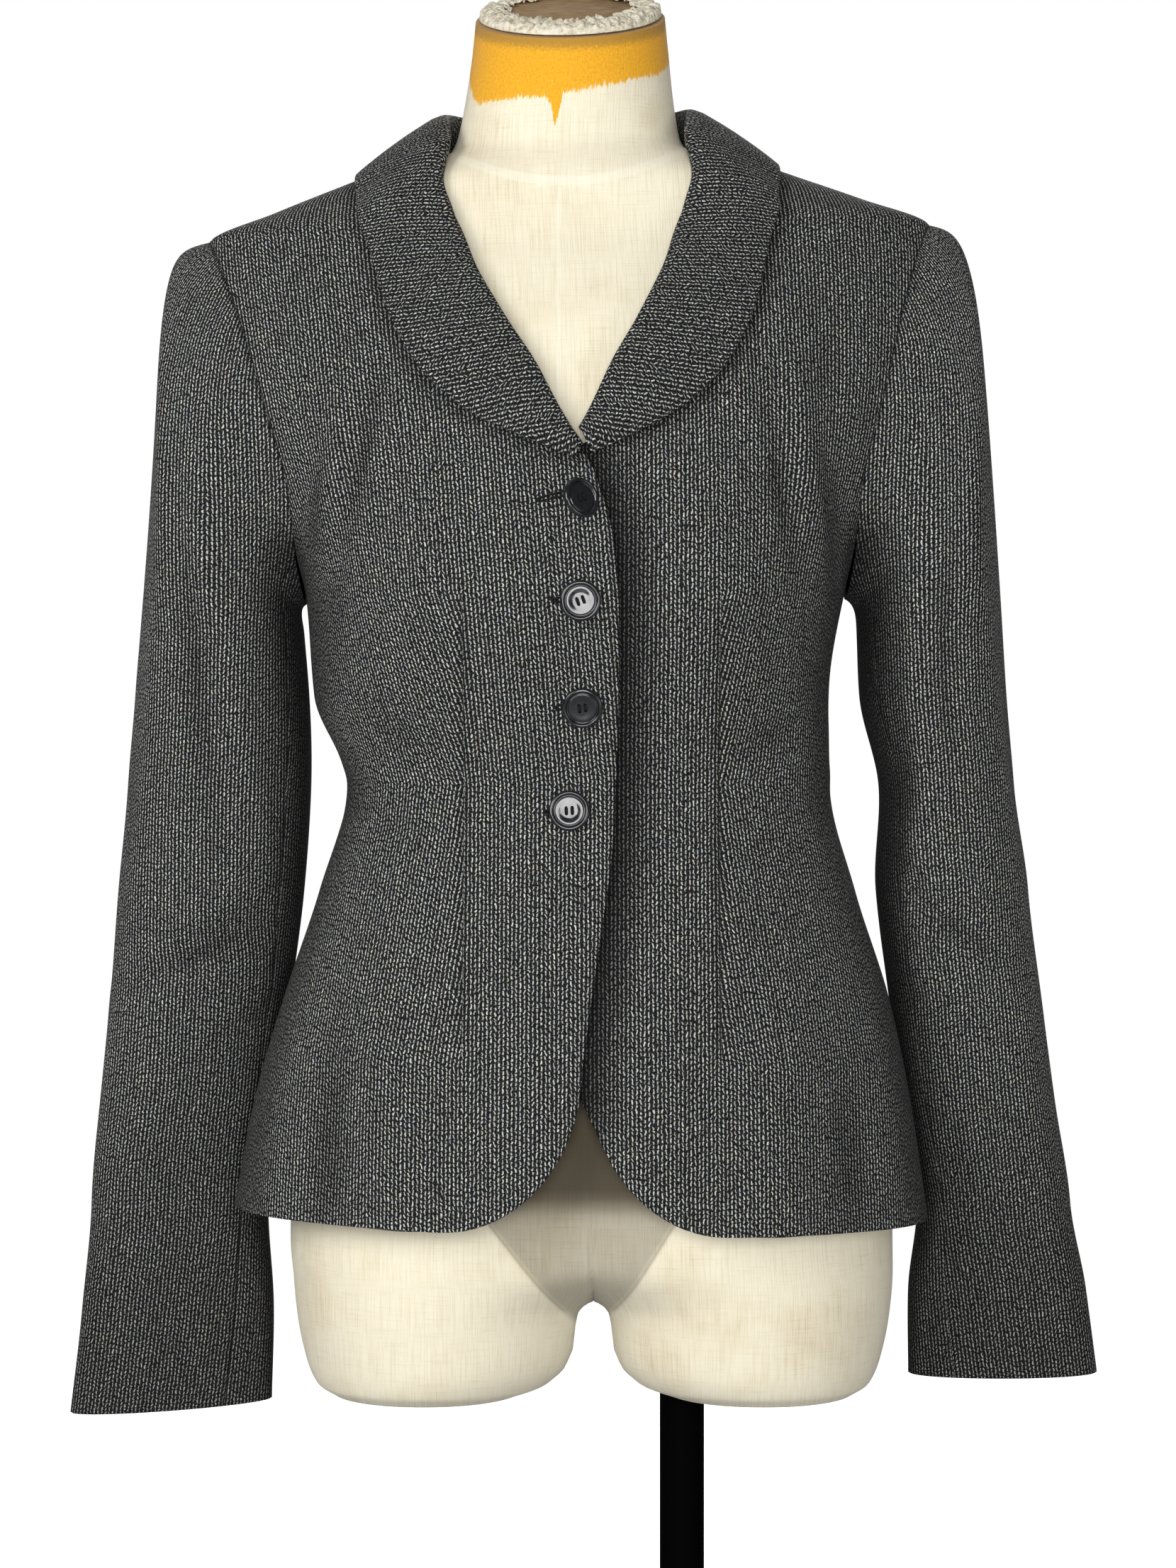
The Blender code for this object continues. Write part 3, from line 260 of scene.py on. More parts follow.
# Sleeve sections from below the armhole to the cuff: out and back place the middle, half_width is seen
# from the front, half_depth from the side, turn swings the inner side back in degrees.
SLEEVE_COLUMNS = ("height", "out", "back", "half_width", "half_depth", "turn")
SLEEVES = {
    RIGHT: Table(
        SLEEVE_COLUMNS,
        (-0.358, 0.233, 0.047, 0.057, 0.0215, 12),
        (-0.3, 0.2295, 0.051, 0.0545, 0.025, 15),
        (-0.24, 0.2285, 0.053, 0.0505, 0.03, 18),
        (-0.18, 0.2225, 0.05, 0.051, 0.034, 18),
        (-0.12, 0.215, 0.039, 0.051, 0.0375, 13),
        (-0.06, 0.2075, 0.022, 0.052, 0.0415, 5),
        (0, 0.202, 0.013, 0.051, 0.046, 0),
        (0.05, 0.1998, 0.006, 0.048, 0.052, 0),
        (0.085, 0.1995, 0.003, 0.045, 0.0555, 0),
    ),
    LEFT: Table(
        SLEEVE_COLUMNS,
        (-0.338, 0.245, 0.04, 0.053, 0.0245, 10),
        (-0.29, 0.242, 0.042, 0.05, 0.028, 12),
        (-0.24, 0.24, 0.042, 0.043, 0.035, 12),
        (-0.18, 0.231, 0.038, 0.0425, 0.04, 10),
        (-0.12, 0.2225, 0.031, 0.0425, 0.043, 6),
        (-0.06, 0.2145, 0.022, 0.0425, 0.046, 2),
        (0, 0.2105, 0.013, 0.0375, 0.051, 0),
        (0.05, 0.2022, 0.006, 0.0405, 0.055, 0),
        (0.085, 0.2, 0.003, 0.04, 0.0575, 0),
    ),
}
CUFF_TILT = {RIGHT: -0.045, LEFT: 0.025}  # rise of the cuff for each metre away from the body
CUFF_TILT_REACH = 0.16  # how far up the sleeve that tilt is felt
FOREARM_SEAM = (0.405, 0.33)  # share of the way round, at the armhole and at the cuff
HINDARM_SEAM = (0.755, 0.8)
SLEEVE_SEAM_STEP = 0.0005  # sleeve's edge outside the armhole's edge
UNDERARM_STEP = 0.003  # the same at the underarm, where the cloth turns down

# Sleeve head: how it leaves the armhole and how full it is.  The armpit and the crown are the shares of the
# way round, either side of the underarm and of the shoulder tip, where their own values are felt.
HEAD_ARMPIT = 0.25
HEAD_CROWN = 0.22
HEAD_FORWARD = 0.35  # lean of the cloth to the front or back as it leaves
HEAD_FALL = {"all": 0.1, "armpit": 0.4, "crown": -0.1}
HEAD_ONWARD = {"all": 0.75, "crown": -0.45}  # how far it follows on from the panel
# Share of the head's length that it runs straight out, and how each crown differs
HEAD_REACH = {"all": 0.36, RIGHT: -0.22, LEFT: -0.26}
HEAD_RISE = {"all": 0.4, "crown": 0.56}  # share that it runs straight up from the sleeve's first section
UNDERARM_STEP_FROM = 0.3  # where in the armpit the wider step begins
UNDERARM_STEP_FULL = 0.9

# Level sections of the dress form: legs is the distance from the middle to a thigh's own middle.
FORM_COLUMNS = ("height", "half_width", "front", "back", "sway", "lean", "legs", "square")
FORM_TRUNK = (
    (-0.342, 0.147, 0.066, 0.07, 0.01, 0.004, 0.0935, 2.1),
    (-0.336, 0.156, 0.077, 0.081, 0.01, 0.004, 0.09, 2.1),
    (-0.322, 0.162, 0.085, 0.089, 0.01, 0.004, 0.0865, 2.1),
    (-0.3, 0.1665, 0.091, 0.095, 0.01, 0.003, 0.085, 2.1),
    (-0.28, 0.1685, 0.096, 0.101, 0.01, 0.002, 0.079, 2.1),
    (-0.255, 0.1695, 0.102, 0.108, 0.009, 0, 0.056, 2.1),
    (-0.225, 0.169, 0.107, 0.115, 0.009, 0, 0.022, 2.1),
    (-0.19, 0.166, 0.11, 0.119, 0.008, 0, 0, 2.1),
    (-0.12, 0.153, 0.107, 0.11, 0.008, 0, 0, 2.1),
    (-0.06, 0.134, 0.098, 0.096, 0.007, 0, 0, 2.1),
    (0, 0.123, 0.09, 0.084, 0.0065, 0, 0, 2.1),
    (0.05, 0.131, 0.1, 0.09, 0.002, 0, 0, 2.2),
    (0.105, 0.142, 0.113, 0.099, 0, 0, 0, 2.2),
    (0.15, 0.148, 0.112, 0.103, 0, 0, 0, 2.2),
    (0.2, 0.16, 0.099, 0.102, -0.0005, 0, 0, 2.2),
    (0.25, 0.174, 0.082, 0.095, -0.0015, 0, 0, 2.1),
    (0.285, 0.186, 0.066, 0.081, -0.0025, 0.002, 0, 2),
)
FORM_NECK = (
    (0.349, 0.088, 0.048, 0.058, -0.0045, 0.008, 0, 2),
    (0.36, 0.065, 0.045, 0.056, -0.0045, 0.01, 0, 2),
    (0.375, 0.0608, 0.0445, 0.055, -0.004, 0.01, 0, 2),
    (0.395, 0.0575, 0.0445, 0.054, -0.0035, 0.009, 0, 2),
    (0.415, 0.055, 0.044, 0.0525, -0.003, 0.007, 0, 2),
    (0.43, 0.0535, 0.044, 0.051, -0.003, 0.005, 0, 2),
)
SHOULDER_EASE = 0.0023  # from the middle of the cloth to the form under it
ARM_PLATE_EASE = 0.01  # from the shoulder tip to the end of the form's shoulder
SHOULDER_HEIGHTS = (SHOULDER_TIP, 0.325, 0.34)


def shoulder_sections():
    """The form's sections under the shoulder seam, each a little inside the cloth's."""
    rows = []
    for height in SHOULDER_HEIGHTS:
        width, front, back, sway, lean = BODY.several(height, "left_width", "front", "back", "sway", "lean")
        if height == SHOULDER_TIP:
            width -= ARM_PLATE_EASE
        rows.append((height - SHOULDER_EASE, width, front - SHOULDER_EASE, back - SHOULDER_EASE,
                     sway, lean, 0.0, 2.0))
    return tuple(rows)


FORM = Table(FORM_COLUMNS, *FORM_TRUNK, *shoulder_sections(), *FORM_NECK)
FORM_BUST = {"across": 0.078, "height": 0.1, "half_across": 0.044, "half_height": 0.055, "rise": 0.006}
NECK_TILT = 0.42  # slope of the neck's cut top, which falls to the front
NECK_TILT_FROM = 0.365  # height where the slope begins

# Buttons down the centre front: height and across of each, its seat above the curve of the cloth, and how
# far it tips to the wearer's left.
BUTTONS = Table(
    ("height", "across", "seat", "tip"),
    (-0.015, -0.003, 0.001, 0),
    (0.042, 0.004, 0.0006, 0),
    (0.098, 0.003, 0.0004, 4),
    (0.15, 0.0025, 0.0004, 38),
)


def half_width(turn, height):
    """Half width of the blazer's section on the side that a turn lies on."""
    return np.where(np.sin(turn) < 0, BODY.at("right_width", height), BODY.at("left_width", height))


def swell(across, height, facing):
    """How far the cloth stands out at its full places, on the front only."""
    total = 0.0
    for at_across, at_height, half_across, half_height, rise in SWELLS.rows:
        far = ((np.abs(across) - at_across) / half_across) ** 2 + ((height - at_height) / half_height) ** 2
        total = total + rise * np.exp(-far)
    return total * ease(*SWELL_FADE, facing)


def cloth_middle(turn, height):
    """The middle of the blazer's cloth; turn is 0 in front, a quarter at the wearer's left, half behind."""
    height = np.asarray(height, dtype=float)
    sine, cosine = np.sin(turn), np.cos(turn)
    power = 2.0 / BODY.at("square", height)
    across = half_width(turn, height) * np.sign(sine) * np.abs(sine) ** power
    depth = np.where(cosine > 0, BODY.at("front", height), BODY.at("back", height))
    x = BODY.at("sway", height) + across
    y = BODY.at("lean", height) - depth * np.sign(cosine) * np.abs(cosine) ** power
    y = y - swell(across, height, cosine)
    z = WAIST + height + BODY.at("tilt", height) * x
    return np.stack(np.broadcast_arrays(x, y, z), axis=-1)


def cloth_normal(turn, height):
    """Outward direction of the cloth."""
    small = 0.0005
    around = cloth_middle(turn + small, height) - cloth_middle(turn - small, height)
    upward = cloth_middle(turn, height + small) - cloth_middle(turn, height - small)
    return unit(np.cross(around, upward))


def cloth_point(turn, height, lift):
    """A point lifted off the middle of the cloth."""
    return cloth_middle(turn, height) + cloth_normal(turn, height) * np.asarray(lift)[..., None]


def turn_at(side, across, height, behind=0):
    """Turn to a point that lies across from the middle, towards its own side, in front or behind."""
    own = BODY.at("right_width" if side == RIGHT else "left_width", height)
    other = BODY.at("left_width" if side == RIGHT else "right_width", height)
    reach = np.clip(across / np.where(np.asarray(across) < 0, other, own), -1.0, 1.0)
    turn = np.sign(reach) * np.arcsin(np.abs(reach) ** (BODY.at("square", height) / 2))
    return side * np.where(np.asarray(behind) > 0.5, math.pi - turn, turn)


def lap_lift(side, across):
    """Step out of the right front, or in of the left, near the centre line."""
    outer = 1 if side == RIGHT else -1
    return outer * LAP_LIFT * (1 - ease(*LAP_FADE, across))


def armhole(side, angle, behind):
    """Turn and height of the armhole: angle is 0 at the underarm and half a turn at the shoulder tip."""
    middle = (UNDERARM + SHOULDER_TIP) / 2
    height = middle - (SHOULDER_TIP - UNDERARM) / 2 * np.cos(angle)
    reach = ARMHOLE_REACH * np.sin(angle) * (1 + ARMHOLE_SKEW * np.cos(angle))
    depth = BODY.at("back", height) if behind else BODY.at("front", height)
    cosine = np.clip(reach / depth, 0.0, 1.0) ** (BODY.at("square", height) / 2)
    turn = np.arccos(cosine)
    return side * (math.pi - turn if behind else turn), height


def spread(curve, low, high, count, crowd=1.0):
    """Places from low to high along a curve, evenly spaced or crowded towards its end."""
    samples = 400
    places = np.linspace(low, high, samples)
    points = curve(places)
    length = np.concatenate(([0.0], np.cumsum(np.linalg.norm(np.diff(points, axis=0), axis=1))))
    shares = 1 - (1 - np.linspace(0.0, 1.0, count)) ** crowd
    return np.interp(shares * length[-1], length, places)


def armhole_angles(side, count, behind):
    """Angles of the rows that end on the armhole, crowded towards the shoulder tip."""
    return spread(lambda angle: cloth_middle(*armhole(side, angle, behind)),
                  0.0, math.pi, count + 1, crowd=ARMHOLE_CROWD)[1:]


def cut_back(side, height):
    """How far a front's inner edge is cut back under the lap."""
    return CUT_BACK[side] * (1 - ease(*CUT_BACK_FADE, height))


def front_edge(side, height):
    """Turn to a front's inner edge."""
    return turn_at(side, cut_back(side, height) - FRONT_EDGE.at("past", height), height)


def seam_heights(side):
    """Heights on the front's neck seam, from the break to the neck point."""
    tip = BREAK + COLLAR_TIP * (NECK_POINT - BREAK)
    above = spread(lambda heights: cloth_middle(front_edge(side, heights), heights),
                   tip, NECK_POINT, NECK_ROWS - 1)
    return np.concatenate(([BREAK], above))


def front_rows(side):
    """Turn and height of a front's inner and outer end on each row, from the hem to the shoulder seam."""
    edge_top = HEM + CUTAWAY_HEIGHT
    edge_past = float(FRONT_EDGE.at("past", edge_top))
    side_seam = side * math.pi / 2
    rows = []
    for angle in np.radians(np.linspace(0, 90, CUTAWAY_ROWS)):
        height = edge_top - CUTAWAY_HEIGHT * math.cos(angle)
        past = edge_past - CUTAWAY_WIDTH * (1 - math.sin(angle)) - float(cut_back(side, height))
        rows.append((turn_at(side, -past, height), height, side_seam, height))
    for height in np.linspace(edge_top, UNDERARM, SIDE_ROWS)[1:]:
        rows.append((front_edge(side, height), height, side_seam, height))
    inner = np.concatenate((np.linspace(UNDERARM, BREAK, EDGE_ROWS)[1:], seam_heights(side)[1:]))
    for height, angle in zip(inner, armhole_angles(side, len(inner), behind=False)):
        rows.append((front_edge(side, height), height, *armhole(side, angle, behind=False)))
    return np.array(rows, dtype=float)


def back_neck(side, share):
    """Turn and height up the centre back for shares 0 to 1, and round the neck seam for 1 to 2."""
    share = np.asarray(share, dtype=float)
    up = UNDERARM + (BACK_NECK - UNDERARM) * share
    round_neck = BACK_NECK + (NECK_POINT - BACK_NECK) * ease(0.0, 1.0, share - 1)
    turn = math.pi - math.pi / 2 * np.clip(share - 1, 0.0, 1.0)
    return side * turn, np.where(share < 1, up, round_neck)


def back_rows(side):
    """The same for a back half, whose inner end is the centre back and the neck seam."""
    centre_back = side * math.pi
    side_seam = side * math.pi / 2
    rows = [(centre_back, height, side_seam, height) for height in np.linspace(HEM, UNDERARM, SIDE_ROWS)]
    up_the_back = np.linspace(0, 1, CENTRE_BACK_ROWS)[1:]
    shares = np.concatenate((up_the_back, np.linspace(1, 2, BACK_NECK_ROWS)[1:]))
    for share, angle in zip(shares, armhole_angles(side, len(shares), behind=True)):
        rows.append((*back_neck(side, share), *armhole(side, angle, behind=True)))
    return np.array(rows, dtype=float)


def edge_index(edge, inside=0):
    """Index of a grid's edge, or of the line that lies some steps inside it."""
    axis, end = EDGES[edge]
    return (slice(None),) * axis + (inside if end == 0 else end - inside,)


def draw_in(points, edges, distance):
    """Pull the named edges of a grid towards its inside, to leave a gap at the seam."""
    points = points.copy()
    for edge in EDGES:
        if edge in edges:
            step = points[edge_index(edge, 1)] - points[edge_index(edge)]
            points[edge_index(edge)] += unit(step) * distance
    return points


def collar_line(side, line, stations):
    """Turn and height of the collar's roll or edge at the given stations."""
    heights = COLLAR.column(line + "_height")
    turns = turn_at(side, COLLAR.column(line + "_across"), heights, COLLAR.column("behind"))
    station = COLLAR.column("station")
    return smooth(station, turns, stations), smooth(station, heights, stations)


def collar_seam(side, stations):
    """Turn and height of the neck seam: up the front's inner edge, then round the back neck."""
    front_height = BREAK + (NECK_POINT - BREAK) * np.minimum(stations, 1.0)
    front_turn = front_edge(side, front_height)
    back_turn, back_height = back_neck(side, 3.0 - np.maximum(stations, 1.0))
    behind = stations > 1.0
    return np.where(behind, back_turn, front_turn), np.where(behind, back_height, front_height)


def across_at(side, line):
    """Distance from the section's middle, towards its own side, of a line of turns and heights."""
    turns, heights = line
    return side * (cloth_middle(turns, heights)[..., 0] - BODY.at("sway", heights))


def collar_column(side, stations, place, share):
    """Points along the collar at one place across it, from the first station to the centre back."""
    roll = collar_line(side, "roll", stations)
    edge = collar_line(side, "edge", stations)
    seam = collar_seam(side, stations)
    in_front = stations < 1.0
    seam_lift = lap_lift(side, across_at(side, seam)) * in_front
    roll_normal = cloth_normal(*roll)
    raised = cloth_point(*roll, seam_lift) + roll_normal * (COLLAR.at("roll_lift", stations) * share)[:, None]
    if place <= 1.0:
        seam_point = cloth_point(*seam, seam_lift)
        inward = unit(raised - seam_point)
        seam_point = seam_point + inward * (STAND_STEP * ease(STAND_STEP_FROM, 1.0, stations))[:, None]
        return seam_point + (raised - seam_point) * place
    fall = place - 1.0
    edge_lift = COLLAR.at("edge_lift", stations) + lap_lift(side, across_at(side, edge)) * in_front
    edge_point = cloth_point(*edge, edge_lift)
    normal = roll_normal * (1 - fall) + cloth_normal(*edge) * fall
    return raised + (edge_point - raised) * fall + normal * COLLAR_BOW * 4 * fall * (1 - fall)


def sleeve_ring(side, height, share):
    """Points of a level sleeve section; share is 0 outside, a quarter in front, half at the body."""
    table = SLEEVES[side]
    angle = 2 * math.pi * share
    out = table.at("half_width", height) * np.cos(angle)
    forward = table.at("half_depth", height) * np.sin(angle)
    swing = np.radians(table.at("turn", height))
    across = out * np.cos(swing) - forward * np.sin(swing)
    back = -forward * np.cos(swing) - out * np.sin(swing)
    x = side * (table.at("out", height) + across)
    y = table.at("back", height) + back
    cuff = table.rows[0, 0]
    fade = 1 - ease(0.0, CUFF_TILT_REACH, height - cuff)
    z = WAIST + height + CUFF_TILT[side] * fade * across
    return np.stack(np.broadcast_arrays(x, y, z), axis=-1)


def armhole_edge(side, share):
    """Points of the armhole's edge, by the shares of a sleeve section, and the cloth's normal there."""
    front = share <= 0.5
    angle = math.pi * np.abs(1 - 2 * share)
    front_turn, height = armhole(side, angle, behind=False)
    back_turn, height = armhole(side, angle, behind=True)
    turn = np.where(front, front_turn, back_turn)
    return cloth_middle(turn, height), cloth_normal(turn, height)


def sleeve_cap(side, share, along, top):
    """Points of the sleeve head, which leaves the armhole outwards and turns down to the first section."""
    share = np.asarray(share, dtype=float)
    start, normal = armhole_edge(side, share)
    small = 0.002
    run = unit(armhole_edge(side, (share + small) % 1.0)[0] - armhole_edge(side, (share - small) % 1.0)[0])
    onward = -side * np.cross(run, normal)
    armpit = ease(HEAD_ARMPIT, 0.0, np.abs(share - 0.5))
    crown = ease(HEAD_CROWN, 0.0, np.minimum(share, 1 - share))
    forward = -HEAD_FORWARD * np.sin(2 * math.pi * share)
    fall = -HEAD_FALL["all"] - HEAD_FALL["armpit"] * armpit - HEAD_FALL["crown"] * crown
    outward = np.stack((side * np.ones_like(share), forward, fall), axis=-1)
    outward += onward * ((HEAD_ONWARD["all"] + HEAD_ONWARD["crown"] * crown) * (1 - armpit))[:, None]
    outward = unit(outward)
    wider = ease(UNDERARM_STEP_FROM, UNDERARM_STEP_FULL, armpit)
    gap = SLEEVE_SEAM_STEP + (UNDERARM_STEP - SLEEVE_SEAM_STEP) * wider
    start = start + outward * gap[:, None]
    end = sleeve_ring(side, top, share)
    below = 0.005
    upward = unit(end - sleeve_ring(side, top - below, share))
    length = np.linalg.norm(end - start, axis=-1)[:, None]
    first = start + outward * length * (HEAD_REACH["all"] + HEAD_REACH[side] * crown)[:, None]
    second = end + upward * length * (HEAD_RISE["all"] + HEAD_RISE["crown"] * crown)[:, None]
    t = along
    return ((1 - t) ** 3 * start + 3 * t * (1 - t) ** 2 * first
            + 3 * t * t * (1 - t) * second + t ** 3 * end)


# Between the thighs: half the gap under the crotch, and how far the hollow above it is filled
NOTCH = Table(
    ("height", "half_gap"),
    (-0.342, 0.04),
    (-0.336, 0.026),
    (-0.329, 0.017),
    (-0.316, 0.0115),
    (-0.3, 0.0098),
    (-0.293, 0.0084),
    (-0.29, 0.0062),
    (-0.288, 0),
)
CROTCH = (-0.292, -0.262)
CROTCH_FILL = 0.92


def form_loop(height, angles):
    """Half section of the dress form at +X, closed along the middle plane or round a thigh."""
    legs, front, back, lean = FORM.several(height, "legs", "front", "back", "lean")
    width, square = FORM.several(height, "half_width", "square")
    width -= legs
    power = 2.0 / square
    sine, cosine = np.sin(angles), np.cos(angles)
    notch = np.interp(height, NOTCH.column("height"), NOTCH.column("half_gap"))
    x = np.maximum(legs + width * np.sign(sine) * np.abs(sine) ** power, notch)
    depth = np.where(cosine > 0, front, back)
    full = np.abs(cosine) ** power
    full = np.where(sine < 0, full + (1 - full) * CROTCH_FILL * ease(*CROTCH, height), full)
    y = lean - depth * np.sign(cosine) * full
    sideways = (x - FORM_BUST["across"]) / FORM_BUST["half_across"]
    upward = (height - FORM_BUST["height"]) / FORM_BUST["half_height"]
    y = y - FORM_BUST["rise"] * np.exp(-sideways ** 2 - upward ** 2) * ease(*SWELL_FADE, cosine)
    slope = NECK_TILT * float(ease(NECK_TILT_FROM, FORM.rows[-1, 0], height))
    return np.stack((x, y, WAIST + height + slope * y), axis=-1)


# Waist darts, one in each front
DART_ACROSS = {RIGHT: 0.06, LEFT: 0.078}
DART_TOP = 0.103
DART_FOOT = -0.15
DART_INTAKE = 0.024  # cloth taken up at the waist
DART_TROUGH = 0.0011  # how deep its stitched line lies
DART_HALF_WIDTH = 0.0024
DART_SHADE = 0.4  # painted shade: how much darker the wool is along it
DART_END = 0.02  # length over which the line fades out at each end
DART_CROWD = 1.35  # columns crowd towards the dart by this power
DART_STEP = 0.0015  # share of a row that the stitched line itself takes
DART_SHARES = (0.06, 0.75)  # where along a row the dart may lie
DART_FIRST_GUESS = 0.35
DART_ROUNDS = 5  # times that guess is bettered

# Soft folds: lean is in degrees from upright, away from the middle, and rise is below zero for a trough.
FOLD_COLUMNS = ("across", "height", "lean", "half_width", "half_length", "rise")
FRONT_FOLDS = {
    RIGHT: Table(
        FOLD_COLUMNS,
        (0.131, 0.172, -9, 0.008, 0.056, 0.0034),
        (0.114, 0.176, -13, 0.008, 0.052, -0.003),
        (0.098, 0.194, -20, 0.009, 0.044, 0.0022),
        (0.124, 0.236, -4, 0.011, 0.036, -0.0016),
        (0.043, 0.137, 66, 0.005, 0.03, 0.0009),
        (-0.017, 0.06, 0, 0.0045, 0.085, 0.0014),
        (0.046, 0.122, 74, 0.0045, 0.026, -0.0007),
        (0.098, 0.03, 58, 0.008, 0.034, -0.0012),
        (0.106, 0.004, 72, 0.007, 0.03, 0.0011),
        (0.096, -0.024, 80, 0.0065, 0.026, -0.0009),
        (0.036, -0.03, 70, 0.005, 0.024, 0.0006),
        (0.044, -0.175, 10, 0.015, 0.05, 0.0016),
        (0.098, -0.2, 3, 0.017, 0.075, 0.003),
        (0.133, -0.196, -3, 0.013, 0.066, -0.0024),
        (0.162, -0.205, -6, 0.013, 0.06, 0.002),
    ),
    LEFT: Table(
        FOLD_COLUMNS,
        (0.127, 0.166, -7, 0.0085, 0.06, 0.0036),
        (0.11, 0.168, -10, 0.008, 0.05, -0.0031),
        (0.093, 0.206, -24, 0.01, 0.038, 0.0019),
        (0.138, 0.226, 2, 0.0085, 0.032, -0.0016),
        (0.052, 0.128, 70, 0.005, 0.034, 0.0008),
        (0.106, 0.026, 64, 0.0085, 0.03, -0.0014),
        (0.114, -0.002, 76, 0.007, 0.028, 0.0012),
        (0.108, -0.034, 84, 0.008, 0.024, -0.0008),
        (0.038, 0.012, 78, 0.005, 0.022, 0.0006),
        (0.04, -0.18, 12, 0.014, 0.046, 0.0014),
        (0.112, -0.196, 1, 0.018, 0.08, 0.0028),
        (0.148, -0.202, -4, 0.013, 0.058, -0.0022),
        (0.174, -0.19, -8, 0.012, 0.064, 0.0018),
    ),
}
BACK_FOLDS = {
    RIGHT: Table(
        FOLD_COLUMNS,
        (0.127, 0.19, -6, 0.01, 0.06, 0.0022),
        (0.108, 0.184, -9, 0.009, 0.052, -0.0016),
        (0.06, 0.04, 62, 0.009, 0.04, 0.0012),
        (0.072, 0.012, 74, 0.008, 0.044, -0.0013),
        (0.05, -0.018, 82, 0.008, 0.036, 0.001),
        (0.06, -0.19, 3, 0.02, 0.078, 0.003),
        (0.104, -0.198, -2, 0.016, 0.066, -0.0024),
        (0.146, -0.186, -4, 0.017, 0.072, 0.0024),
    ),
    LEFT: Table(
        FOLD_COLUMNS,
        (0.121, 0.182, -8, 0.01, 0.054, 0.0024),
        (0.1, 0.192, -11, 0.008, 0.048, -0.0014),
        (0.066, 0.032, 68, 0.0085, 0.046, 0.0011),
        (0.056, 0.006, 78, 0.008, 0.04, -0.0012),
        (0.082, -0.026, 86, 0.0075, 0.034, 0.0009),
        (0.052, -0.196, 2, 0.018, 0.07, 0.0026),
        (0.096, -0.188, -3, 0.017, 0.076, -0.0022),
        (0.14, -0.2, -3, 0.016, 0.064, 0.0026),
    ),
}

# Folds of the sleeves: across is the share of the way round, 0 outside and a quarter in front.
SLEEVE_GIRTH = 0.3
SLEEVE_FOLDS = {
    RIGHT: Table(
        FOLD_COLUMNS,
        (0.13, 0.12, 4, 0.012, 0.11, 0.002),
        (0.22, 0.06, -6, 0.01, 0.09, -0.0022),
        (0.3, 0.03, -10, 0.01, 0.08, 0.002),
        (0.06, -0.01, 6, 0.012, 0.085, -0.0014),
        (0.26, -0.07, 56, 0.009, 0.032, 0.0022),
        (0.22, -0.098, 64, 0.008, 0.036, -0.002),
        (0.3, -0.126, 60, 0.009, 0.03, 0.0018),
        (0.15, -0.18, 8, 0.011, 0.07, 0.0016),
        (0.24, -0.26, -5, 0.01, 0.075, -0.0014),
        (0.08, -0.29, 3, 0.012, 0.06, 0.0012),
        (0.86, 0.06, 5, 0.013, 0.1, 0.002),
        (0.78, -0.06, -40, 0.01, 0.046, -0.002),
        (0.82, -0.1, -62, 0.009, 0.04, 0.0018),
        (0.7, -0.22, 4, 0.012, 0.08, 0.0016),
        (0.55, -0.02, 6, 0.011, 0.09, -0.0014),
    ),
    LEFT: Table(
        FOLD_COLUMNS,
        (0.15, 0.11, 6, 0.012, 0.1, 0.0022),
        (0.24, 0.07, -4, 0.0095, 0.085, -0.002),
        (0.32, 0.02, -8, 0.01, 0.075, 0.0018),
        (0.05, 0.01, 4, 0.012, 0.09, -0.0014),
        (0.28, -0.052, 52, 0.009, 0.034, 0.0024),
        (0.24, -0.084, 60, 0.008, 0.034, -0.0021),
        (0.31, -0.112, 66, 0.0085, 0.03, 0.0019),
        (0.12, -0.17, 6, 0.012, 0.066, 0.0016),
        (0.22, -0.24, -7, 0.01, 0.07, -0.0015),
        (0.1, -0.28, 4, 0.012, 0.056, 0.0013),
        (0.88, 0.05, 4, 0.013, 0.095, 0.002),
        (0.76, -0.05, -44, 0.01, 0.044, -0.0018),
        (0.8, -0.092, -58, 0.009, 0.038, 0.0019),
        (0.68, -0.2, 5, 0.012, 0.075, 0.0015),
        (0.57, -0.03, 4, 0.011, 0.085, -0.0014),
    ),
}
FRONT_LEAN = {RIGHT: 0.085, LEFT: 0.0}  # slope of a front's grain above the waist
GRAIN_LEAN = 0.15  # how far the grain leans to the neck at the crown of the head
CUFF_SHADE = 0.46  # painted shade: how much darker the wool is at the cuff
CUFF_SHADE_REACH = 0.24  # height over which that fades
CUFF_FADE = 0.03  # folds die out over this height above the cuff
ARMHOLE_FADE = 0.1  # share of the head over which they die out at the armhole

# Collar on the finer grid
COLLAR_FIRST = {RIGHT: COLLAR_TIP, LEFT: 0.086}  # station where each half begins
SLANT_FADE = 0.07  # stations over which the slant of its first row fades
COLLAR_PLACES = ((0.0, 0.8, 12), (0.8, 1.12, 20), (1.12, 2.0, 30))  # from, to and columns
COLLAR_FALL = 1.12  # place where the fall begins
COLLAR_GRAIN_LINE = 1.4  # place whose length sets the grain
OVER_SPREAD = 0.018  # length over which the collar's turn at the shoulder seam is rounded
OVER_REACH = 0.7  # stations each side of the seam that the rounding reaches
OVER_STAND = 0.6  # place above the neck seam from which it is whole
COLLAR_LEAN = Table(
    ("station", "degrees"),
    (0, 60),
    (0.5, 63),
    (1, 74),
    (2, 80),
)
COLLAR_FOLDS = Table(
    ("station", "place", "half_station", "half_place", "rise"),
    (0.3, 1.6, 0.1, 0.3, 0.0008),
    (0.55, 1.75, 0.12, 0.25, -0.0006),
    (0.8, 1.55, 0.1, 0.35, 0.0009),
    (1.05, 1.7, 0.12, 0.3, -0.0005),
    (1.35, 1.6, 0.14, 0.35, 0.0008),
    (1.7, 1.7, 0.12, 0.3, 0.0005),
)
